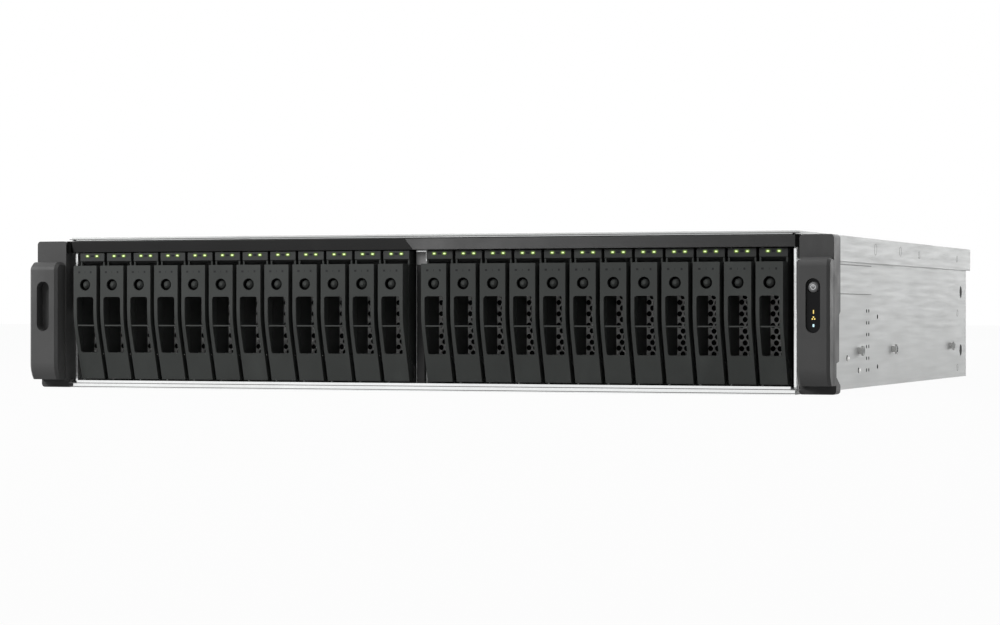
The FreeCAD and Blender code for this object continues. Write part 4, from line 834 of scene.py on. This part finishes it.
def stack(shape, across, sizes):
    """Rounded tiles on one another, widest first, each with the finish of its own number."""
    for index, width, height, proud in sizes:
        before = set(shape.faces)
        tile(shape, (across, CAP_FRONT + 0.1, LIGHT_UP), width, height, height * 0.47, proud,
             FRONT)
        for face in set(shape.faces) - before:
            face.material_index = index


lights = bmesh.new()
for side in (-1, 1):
    stack(lights, side * LIGHT_APART, ((2, 3.7, 2.6, 0.12), (1, 2.4, 1.6, 0.16),
                                       (0, 1.35, 0.75, 0.20)))
stack(lights, 0, ((3, 2.1, 1.0, 0.14),))
bay_pieces(lights, "tray_lights", [lamp_core, lamp_green, lamp_ring, lamp_off], "carrier")

legs = bmesh.new()
half = bay_middles["01"] - tray_low.x
for side in (-1, 1):
    block(legs, (side * half, CAP_FRONT + 0.6, LEVER_TOP - 1.2),
          (side * (half - LEG_THICK), CAP_FRONT + 3.0, CAP_FOOT))
bay_pieces(legs, "cap_legs", [lever_black], "carrier", edge=0.15)

# %% [markdown]
# ## Chassis sheet
#
# Pan, cage, divider and board stay as the solids they are and only take a finish. The cover and the
# three rear modules are joined copies with eased edges, for the light that a real edge catches.
# Their tops take a duller, darker copy of the coat, painted shade that keeps a low view from
# mirroring the lamps in them. What is added are the things a sheet-metal shop leaves behind:
# punched holes, lances, dimples and the heads of the rail studs. Holes this small are drawn as
# dark discs of painted shade a hair above the sheet, and dimples as grey rings of painted shade.

# %% Finishes for the carried-over solids
FINISH_OF = {"chassis_pan": zinc, "drive_cage": zinc, "centre_divider": post_black,
             "midplane_board": board_green}
for node, finish in FINISH_OF.items():
    for place in nodes[node].material_slots:
        place.material = finish
print(len(FINISH_OF), "solids keep their shape and take a finish")


# %% Softened sheets
LOOKS_UP = 0.9


def softened(node, body, slot, finishes, edge):
    """A joined copy of a solid with eased edges; faces that look up take the painted shade finish.
    """
    shape = joined_copy(node)
    shape.normal_update()
    for face in shape.faces:
        face.material_index = 1 if face.normal.z > LOOKS_UP else 0
    piece(shape, f"{node}_sheet", finishes, body, slot, node, edge=edge)


softened("top_cover", "cover", "zinc_steel", [zinc, shaded_top_zinc], 0.2)
for module in ("left_power_module", "right_power_module", "io_module"):
    softened(module, module, "module_steel", [module_zinc, shaded_top_zinc], 0.3)
print("cover and three modules with eased edges")

# %% Side walls
pan_low, pan_high = local_box("chassis_pan")
cover_low, cover_high = local_box("top_cover")
STUD_REACH = 3.2
WALL_OUT = pan_high.x - STUD_REACH
FLANGE_OUT = cover_high.x
PAIR_BACKS, PAIR_UPS = (176.6, 182.7), (45.3, 38.2, 31.2, 24.1, 17.1, 10.0)
PAIR_RADIUS, LANCE_RADIUS = 1.1, 1.7
LONE_HOLES = [(206.5, 41.8, 1.4), (206.5, 11.6, 1.4)]
REAR_HOLES, REAR_HOLE_RADIUS, REAR_HOLE_DEEP = ((471.0, 18.4), (471.0, 58.5)), 4.0, 1.1
LANCES = [(126.0, 18.0), (155.5, 10.3)]
ARM_OUT, ARM_FRONT, ARM_REAR, ARM_TOP, ARM_FOOT = WALL_OUT + 0.6, 12.5, 187.0, 71.7, 55.3
DIMPLES = [(459.0, 44.0, 2.5), (459.0, 6.5, 2.5)]
FLANGE_DIMPLES = [(196.0, 82.2, 3.5), (267.0, 82.5, 3.1), (324.0, 81.3, 2.4), (451.0, 81.0, 2.2)]
STUDS = (156.0, 249.0, 433.0)
STUD_UP = 21.8

for side, facing, name in ((-1, LEFT, "left"), (1, RIGHT, "right")):
    # Holes and the openings of the lances are flat discs of painted shade on the wall; the two rear
    # holes have theirs at the floor of the bore.
    dark = bmesh.new()
    small = [(back, up, PAIR_RADIUS) for back in PAIR_BACKS for up in PAIR_UPS] + LONE_HOLES
    for back, up, radius in small:
        turned(dark, [(0, 0.04), (radius, 0.04), (radius, -0.3), (0, -0.3)],
               (side * WALL_OUT, back, up), facing, 14)
    for back, up in LANCES:
        turned(dark, [(0, 0.03), (LANCE_RADIUS, 0.03), (LANCE_RADIUS, -0.3), (0, -0.3)],
               (side * WALL_OUT, back, up), facing, 16)
    for back, up in REAR_HOLES:
        turned(dark, [(0, 0.02), (REAR_HOLE_RADIUS, 0.02), (REAR_HOLE_RADIUS, -0.06), (0, -0.06)],
               (side * (WALL_OUT - REAR_HOLE_DEEP), back, up), facing, 28)
    piece(dark, f"{name}_wall_hole_shade", [painted_shade_black], "chassis", "zinc_steel")
    # Dark strips at the top and foot of the bracket arm are painted shade along its edges.
    arm_shade = bmesh.new()
    for low, high in ((ARM_TOP, ARM_TOP + 0.45), (ARM_FOOT - 0.3, ARM_FOOT - 0.02)):
        block(arm_shade, (side * (ARM_OUT - 0.7), ARM_FRONT, low),
              (side * (ARM_OUT + 0.02), ARM_REAR, high))
    piece(arm_shade, f"{name}_arm_edge_shade", [edge_shade_grey], "chassis", "zinc_steel")
    metal = bmesh.new()
    for back, up in LANCES:
        turned(metal, [(0, 1.0), (0.8, 0.9), (1.3, 0.5), (1.5, 0)],
               (side * WALL_OUT, back + 1.5, up - 0.4), facing, 16)
    for back in STUDS:
        turned(metal, [(0, 3.2), (2.1, 3.2), (3.03, 2.75), (3.03, 1.95), (2.0, 1.95), (2.0, 0)],
               (side * WALL_OUT, back, STUD_UP), facing, 28)
    piece(metal, f"{name}_studs", [screw_steel], "chassis", "zinc_steel")
    # Each dimple is a thin grey ring of painted shade round its rim.
    for label, body, out, places in (("wall_dimple_shade", "chassis", WALL_OUT, DIMPLES),
                                     ("cover_dimple_shade", "cover", FLANGE_OUT, FLANGE_DIMPLES)):
        dents = bmesh.new()
        for back, up, radius in places:
            turned(dents, [(radius - 0.45, -0.1), (radius - 0.4, 0.04), (radius, 0.04),
                           (radius, -0.1), (radius - 0.45, -0.1)],
                   (side * out, back, up), facing, 24)
        piece(dents, f"{name}_{label}", [dent_shade_grey], body, "zinc_steel")
print("holes, dimples and studs on both sides")

# %% [markdown]
# ## Bezel bar and rack ears
#
# The ears are the only parts a hand meets when the shelf is carried, so they are thick, rounded
# mouldings with curled ends. Their solids are reused with a bevel, and the steel bracket behind
# each ear and the glossy status window are separated from them, because each has its own finish.

# %% Bezel bar
bar = loose_parts("front_bezel_bar")[0]
piece(bar, "bezel_bar", [bar_black], "chassis", "bezel_moulding", "front_bezel_bar", edge=0.3)

BAR_END, LINE = 2.2, 0.45
LINE_UPS = ((pan_low.y, 2.8), (pan_low.y, 0.7), (cover_low.y, 87.45))

bar_low, bar_high = local_box("front_bezel_bar")
ends, lines = bmesh.new(), bmesh.new()
# Flat black blocks at each end of the bar are painted shade in the gap where the bar meets the ear.
for side, edge in ((-1, bar_low.x), (1, bar_high.x)):
    face = min((SEAT.inverted() @ vert.co).y for vert in nodes["front_bezel_bar"].data.vertices
               if abs((SEAT.inverted() @ vert.co).x - edge) < BAR_END)
    block(ends, (edge - side * BAR_END, face - 0.08, bar_low.z),
          (edge + side * 0.3, face + 4, bar_high.z))
# Thin dark lines across the lip and the cover's hem are painted shade at their folds.
for back, up in LINE_UPS:
    block(lines, (bar_low.x, back - 0.12, up - LINE / 2), (bar_high.x, back + 0.5, up + LINE / 2))

# %% Painted highlights on the sheet edges, and the post's head in painted shade
LIP_HEIGHT, LIP_INSET, LIP_END, WALL_EDGE, WALL_EDGE_BACK = 4.4, 2.4, 2.5, 1.3, 6.2
HEAD_HALF, HEAD_BACK, HEAD_FOOT, HEAD_TOP, HEAD_RIM = 3.2, 9.95, 71.4, 79.3, 0.45

# The lip and the walls' front edges take the pale, polished copy of the zinc: partly bright cut
# metal, partly painted highlight.
bright = bmesh.new()
block(bright, (LIP_INSET - WALL_OUT, pan_low.y - 0.08, 0.05),
      (WALL_OUT - LIP_INSET, pan_low.y + 0.3, LIP_HEIGHT + 0.02))
for side in (-1, 1):
    block(bright, (side * (WALL_OUT - LIP_INSET), pan_low.y - 0.08, 0.05),
          (side * WALL_OUT, pan_low.y + 0.3, LIP_END))
    block(bright, (side * (WALL_OUT - WALL_EDGE), WALL_EDGE_BACK - 0.12, 4.0),
          (side * WALL_OUT, WALL_EDGE_BACK - 0.02, 79.0))
piece(bright, "edge_highlights", [edge_highlight_zinc], "chassis", "zinc_steel")
# The post's head is a darker grey plate over the cage's metal above the divider: painted shade.
head = bmesh.new()
block(head, (-HEAD_HALF, HEAD_BACK, HEAD_FOOT), (HEAD_HALF, HEAD_BACK + 0.2, HEAD_TOP))
piece(head, "post_head", [dent_shade_grey], "chassis", "zinc_steel")
# Pale strips along the top and right edge of the post's head are painted highlight.
rim = bmesh.new()
block(rim, (-HEAD_HALF, HEAD_BACK - 0.25, HEAD_TOP - HEAD_RIM),
      (HEAD_HALF, HEAD_BACK + 0.15, HEAD_TOP))
block(rim, (HEAD_HALF - HEAD_RIM, HEAD_BACK - 0.25, HEAD_FOOT + 2),
      (HEAD_HALF, HEAD_BACK + 0.15, HEAD_TOP - HEAD_RIM))
piece(rim, "post_head_highlight", [edge_highlight_zinc], "chassis", "zinc_steel")
# The bar's ends, in painted shade.
piece(ends, "bezel_end_shade", [painted_shade_black], "chassis", "bezel_moulding")
# The lines on the lip and hem, in painted shade.
piece(lines, "sheet_line_shade", [edge_shade_grey], "chassis", "zinc_steel")
print("bar, its dark ends and the bright edges of the sheets")

# %% Ears
right_parts = loose_parts("right_ear")
left_parts = loose_parts("left_ear")
print("right ear", [round(box_size(part)) for part in right_parts])
print("left ear", [round(box_size(part)) for part in left_parts])
window_part = right_parts.pop()


def nearest_front(part):
    """How far forward a part reaches."""
    return min(vert.co.y for vert in part.verts)


for name, ear_parts in (("right", right_parts), ("left", left_parts)):
    ear, bracket = sorted(ear_parts, key=nearest_front)
    show(finished_mesh(ear, f"{name}_ear", [ear_grey], edge=0.35), f"{name}_ear_moulding",
         "chassis", "ear_moulding", f"{name}_ear")
    show(finished_mesh(bracket, f"{name}_bracket", [zinc]), f"{name}_ear_bracket",
         "chassis", "zinc_steel")
piece(window_part, "status_window", [window_black], "chassis", "ear_moulding", edge=0.15)

# %% [markdown]
# ## Power button and status lights
#
# The power button is a small grey dome with a plain ring and bar on it.
# Under it, three tiny lights show through the window: a bar, three dots and a single drop.

# %% Power button and lights
button_low, button_high = local_box("power_button")
BUTTON_MIDDLE = (button_low.x + button_high.x) / 2
BUTTON_UP = (button_low.z + button_high.z) / 2
BUTTON_RADIUS = (button_high.x - button_low.x) / 2
DEEP = button_high.y - button_low.y
MARK_BACK = button_low.y + 0.06
WINDOW_FACE = 1.6 - HANDLE_REACH
LIGHT_BACK = WINDOW_FACE + 0.05
DOT_WIDE, DOTS = 0.8, ((0, 41.9), (-0.62, 40.9), (0.62, 40.9))

dome = bmesh.new()
turned(dome, [(0, -0.05), (1.7, -0.08), (2.2, -0.22), (2.6, -0.5), (2.9, -0.9),
              (BUTTON_RADIUS, -1.4), (BUTTON_RADIUS, -DEEP), (0, -DEEP)],
       (BUTTON_MIDDLE, button_low.y, BUTTON_UP), FRONT, 40)
piece(dome, "power_dome", [button_grey], "power_button", "button_lens", "power_button")

marks = bmesh.new()
turned(marks, [(1.05, 0), (1.1, 0.06), (1.4, 0.06), (1.45, 0), (1.05, 0)],
       (BUTTON_MIDDLE, MARK_BACK, BUTTON_UP), FRONT, 28)
tile(marks, (BUTTON_MIDDLE, MARK_BACK, BUTTON_UP + 0.75), 0.5, 1.5, 0.2, 0.08, FRONT)
piece(marks, "power_mark", [button_white], "power_button", "button_lens")

marks = bmesh.new()
tile(marks, (BUTTON_MIDDLE, LIGHT_BACK, 44.7), 0.55, 2.0, 0.25, 0.12, FRONT)
for across, up in DOTS:
    tile(marks, (BUTTON_MIDDLE + across, LIGHT_BACK, up), DOT_WIDE, DOT_WIDE, 0.35, 0.12, FRONT)
piece(marks, "amber_marks", [lamp_amber], "chassis", "ear_moulding")
marks = bmesh.new()
tile(marks, (BUTTON_MIDDLE, LIGHT_BACK, 37.4), 1.0, 1.6, 0.45, 0.12, FRONT)
piece(marks, "white_mark", [lamp_white], "chassis", "ear_moulding")
print(f"button {2 * BUTTON_RADIUS:.1f} mm across at {BUTTON_UP:.1f} mm")

# %% [markdown]
# ## Rear modules
#
# At the back, two power and cooling modules stand either side of the link module. Each power module
# has a fan behind a wire guard, a mains inlet with three flat pins and a pull handle. The link
# module has four metal-framed ports with a tongue in each.

# %% Fans, guards and inlets
right_low, right_high = local_box("right_power_module")
REAR_FACE = pan_high.y
FAN_RADIUS, HUB_RADIUS, FAN_DEPTH = 29.0, 12.0, 3.6
GUARD_RINGS = (9.5, 14.5, 19.5, 24.5, 28.6)
BLADES, BLADE_TWIST, BLADE_DEEP = 7, math.radians(14), 2.2
FAN_ACROSS = right_low.x + 35.0
FAN_UP = (right_low.z + right_high.z) / 2
INLET_ACROSS, INLET_UP = right_high.x - 16.5, right_low.z + 16.0
INLET_FLOOR, INLET_PINS = 11.98, ((-7.0, -1.5), (0, 2.5), (7.0, -1.5))
MODULE_SCREWS = ((right_low.x + 5, right_low.z + 5), (right_low.x + 5, right_high.z - 5),
                 (right_high.x - 5, right_low.z + 36), (right_high.x - 40, right_low.z + 5))


def add_screws(name, places, body):
    """Round screw heads on the rear face."""
    heads = bmesh.new()
    for across, up in places:
        turned(heads, SCREW_HEAD, (across, REAR_FACE, up), REAR, 20)
    piece(heads, name, [screw_steel], body, "module_steel")


for side, name in ((-1, "left"), (1, "right")):
    body, slot = f"{name}_power_module", "module_steel"
    middle = (side * FAN_ACROSS, REAR_FACE, FAN_UP)
    guard = bmesh.new()
    for radius in GUARD_RINGS:
        turned(guard, [(radius - 0.5, 0.2), (radius, 0.7), (radius + 0.5, 0.2), (radius, -0.3),
                       (radius - 0.5, 0.2)], middle, REAR, 48)
    for turn in range(4):
        arm = bmesh.new()
        block(arm, (9.0, -0.45, -0.3), (30.6, 0.45, 0.5))
        take_in(guard, arm, facing_place(middle, REAR)
                @ Matrix.Rotation(math.radians(45 + 90 * turn), 4, "Z"))
    piece(guard, f"{name}_fan_guard", [fan_wire], body, slot)

    rotor = bmesh.new()
    turned(rotor, [(0, -1.2), (9.0, -1.2), (10.5, -1.6), (11.0, -2.4), (11.0, -FAN_DEPTH),
                   (0, -FAN_DEPTH)], middle, REAR, 40)
    for blade in range(BLADES):
        leaf = bmesh.new()
        block(leaf, (10.5, -4.2, -0.3), (27.6, 4.2, 0.3))
        bmesh.ops.rotate(leaf, cent=(0, 0, 0), matrix=Matrix.Rotation(BLADE_TWIST, 3, "X"),
                         verts=leaf.verts)
        take_in(rotor, leaf, facing_place((middle[0], middle[1] - BLADE_DEEP, middle[2]), REAR)
                @ Matrix.Rotation(2 * math.pi * blade / BLADES, 4, "Z"))
    piece(rotor, f"{name}_fan_rotor", [socket_black], body, slot)
    # A flat black ring at the bottom of the fan's recess, painted shade under the blades.
    well = bmesh.new()
    turned(well, [(HUB_RADIUS + 0.05, -FAN_DEPTH + 0.1), (FAN_RADIUS - 0.1, -FAN_DEPTH + 0.1),
                  (FAN_RADIUS - 0.1, -FAN_DEPTH - 0.2), (HUB_RADIUS + 0.05, -FAN_DEPTH - 0.2),
                  (HUB_RADIUS + 0.05, -FAN_DEPTH + 0.1)], middle, REAR, 48)
    piece(well, f"{name}_fan_well_shade", [painted_shade_black], body, slot)

    inlet = bmesh.new()
    drawn = open_outline(inlet, side * INLET_ACROSS, INLET_UP, 27.0, 20.0, 0.5)
    drawn += open_outline(inlet, side * INLET_ACROSS, INLET_UP, 22.6, 16.0, 3.0)
    filled_sheet(inlet, drawn, REAR_FACE - 0.6, REAR)
    piece(inlet, f"{name}_inlet_frame", [socket_black], body, slot, wall=11.0, edge=0.3,
          closed=False)
    pins = bmesh.new()
    for across, up in INLET_PINS:
        block(pins, (side * INLET_ACROSS + across - 1.0, REAR_FACE - 11.8, INLET_UP + up - 2.0),
              (side * INLET_ACROSS + across + 1.0, REAR_FACE - 2.5, INLET_UP + up + 2.0))
    piece(pins, f"{name}_inlet_pins", [screw_steel], body, slot, edge=0.3)
    # The bottom of the inlet is flat black painted shade.
    floor_of_inlet = bmesh.new()
    block(floor_of_inlet, (side * INLET_ACROSS - 13.4, REAR_FACE - INLET_FLOOR, INLET_UP - 9.9),
          (side * INLET_ACROSS + 13.4, REAR_FACE - 11.6, INLET_UP + 9.9))
    piece(floor_of_inlet, f"{name}_inlet_floor_shade", [painted_shade_black], body, slot)
    add_screws(f"{name}_module_screws", [(side * across, up) for across, up in MODULE_SCREWS], body)
    lamp = bmesh.new()
    tile(lamp, (side * INLET_ACROSS, REAR_FACE, right_low.z + 34), 3.0, 1.6, 0.7, 0.15, REAR)
    piece(lamp, f"{name}_module_light", [lamp_green], body, slot)
print(f"fans at {FAN_ACROSS:.1f} mm, inlets at {INLET_ACROSS:.1f} mm")

# %% Link ports
PORTS, PORT_PITCH, PORT_UP, PORT_WIDTH, PORT_HEIGHT = 4, 19.0, 17.0, 14.5, 11.0
VENT_ROWS, VENT_COLUMNS, VENT_UP, VENT_RISE, VENT_PITCH, VENT_WIDE = 3, 16, 40, 7, 5.6, 3.6
SCREW_LOW, SCREW_TOP = 8, 60
io_low, io_high = local_box("io_module")

shells, tongues, port_lights = bmesh.new(), bmesh.new(), bmesh.new()
for index in range(PORTS):
    across = (index - (PORTS - 1) / 2) * PORT_PITCH
    block(tongues, (across - 5.0, REAR_FACE - 8.5, PORT_UP - 0.8),
          (across + 5.0, REAR_FACE - 2.0, PORT_UP + 0.8))
    for side in (-1, 1):
        tile(port_lights, (across + side * 4.5, REAR_FACE, PORT_UP + 9.0), 1.8, 1.0, 0.4, 0.12,
             REAR)
    drawn = open_outline(shells, across, PORT_UP, PORT_WIDTH + 1.6, PORT_HEIGHT + 1.6, 0.8)
    drawn += open_outline(shells, across, PORT_UP, PORT_WIDTH - 1.2, PORT_HEIGHT - 1.2, 0.5)
    bmesh.ops.triangle_fill(shells, use_beauty=True, use_dissolve=False, edges=drawn)
bmesh.ops.translate(shells, vec=(0, REAR_FACE + 0.8, 0), verts=shells.verts)
bmesh.ops.recalc_face_normals(shells, faces=shells.faces)
for face in shells.faces:
    if face.normal.y < 0:
        face.normal_flip()
piece(shells, "port_shells", [screw_steel], "io_module", "module_steel", wall=6.0, edge=0.15,
      closed=False)
piece(tongues, "port_tongues", [socket_black], "io_module", "module_steel", edge=0.15)
piece(port_lights, "port_lights", [lamp_green], "io_module", "module_steel")
# The vents are flat tiles of painted shade on the rear face.
vents = bmesh.new()
for row in range(VENT_ROWS):
    for column in range(VENT_COLUMNS):
        across = (column - (VENT_COLUMNS - 1) / 2) * VENT_PITCH
        tile(vents, (across, REAR_FACE, VENT_UP + VENT_RISE * row), VENT_WIDE, VENT_WIDE, 1.2,
             0.05, REAR, 2)
piece(vents, "vent_hole_shade", [painted_shade_black], "io_module", "module_steel")
add_screws("link_screws", [(across, up) for up in (SCREW_LOW, SCREW_TOP)
                           for across in (io_low.x + 5, io_high.x - 5)], "io_module")
print(PORTS, "ports,", VENT_ROWS * VENT_COLUMNS, "vents")

# %% Finish
size_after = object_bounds()
for label, low, high in (("before", *size_before), ("after", *size_after)):
    print(label, [round(value, 5) for value in (*low, *high)])
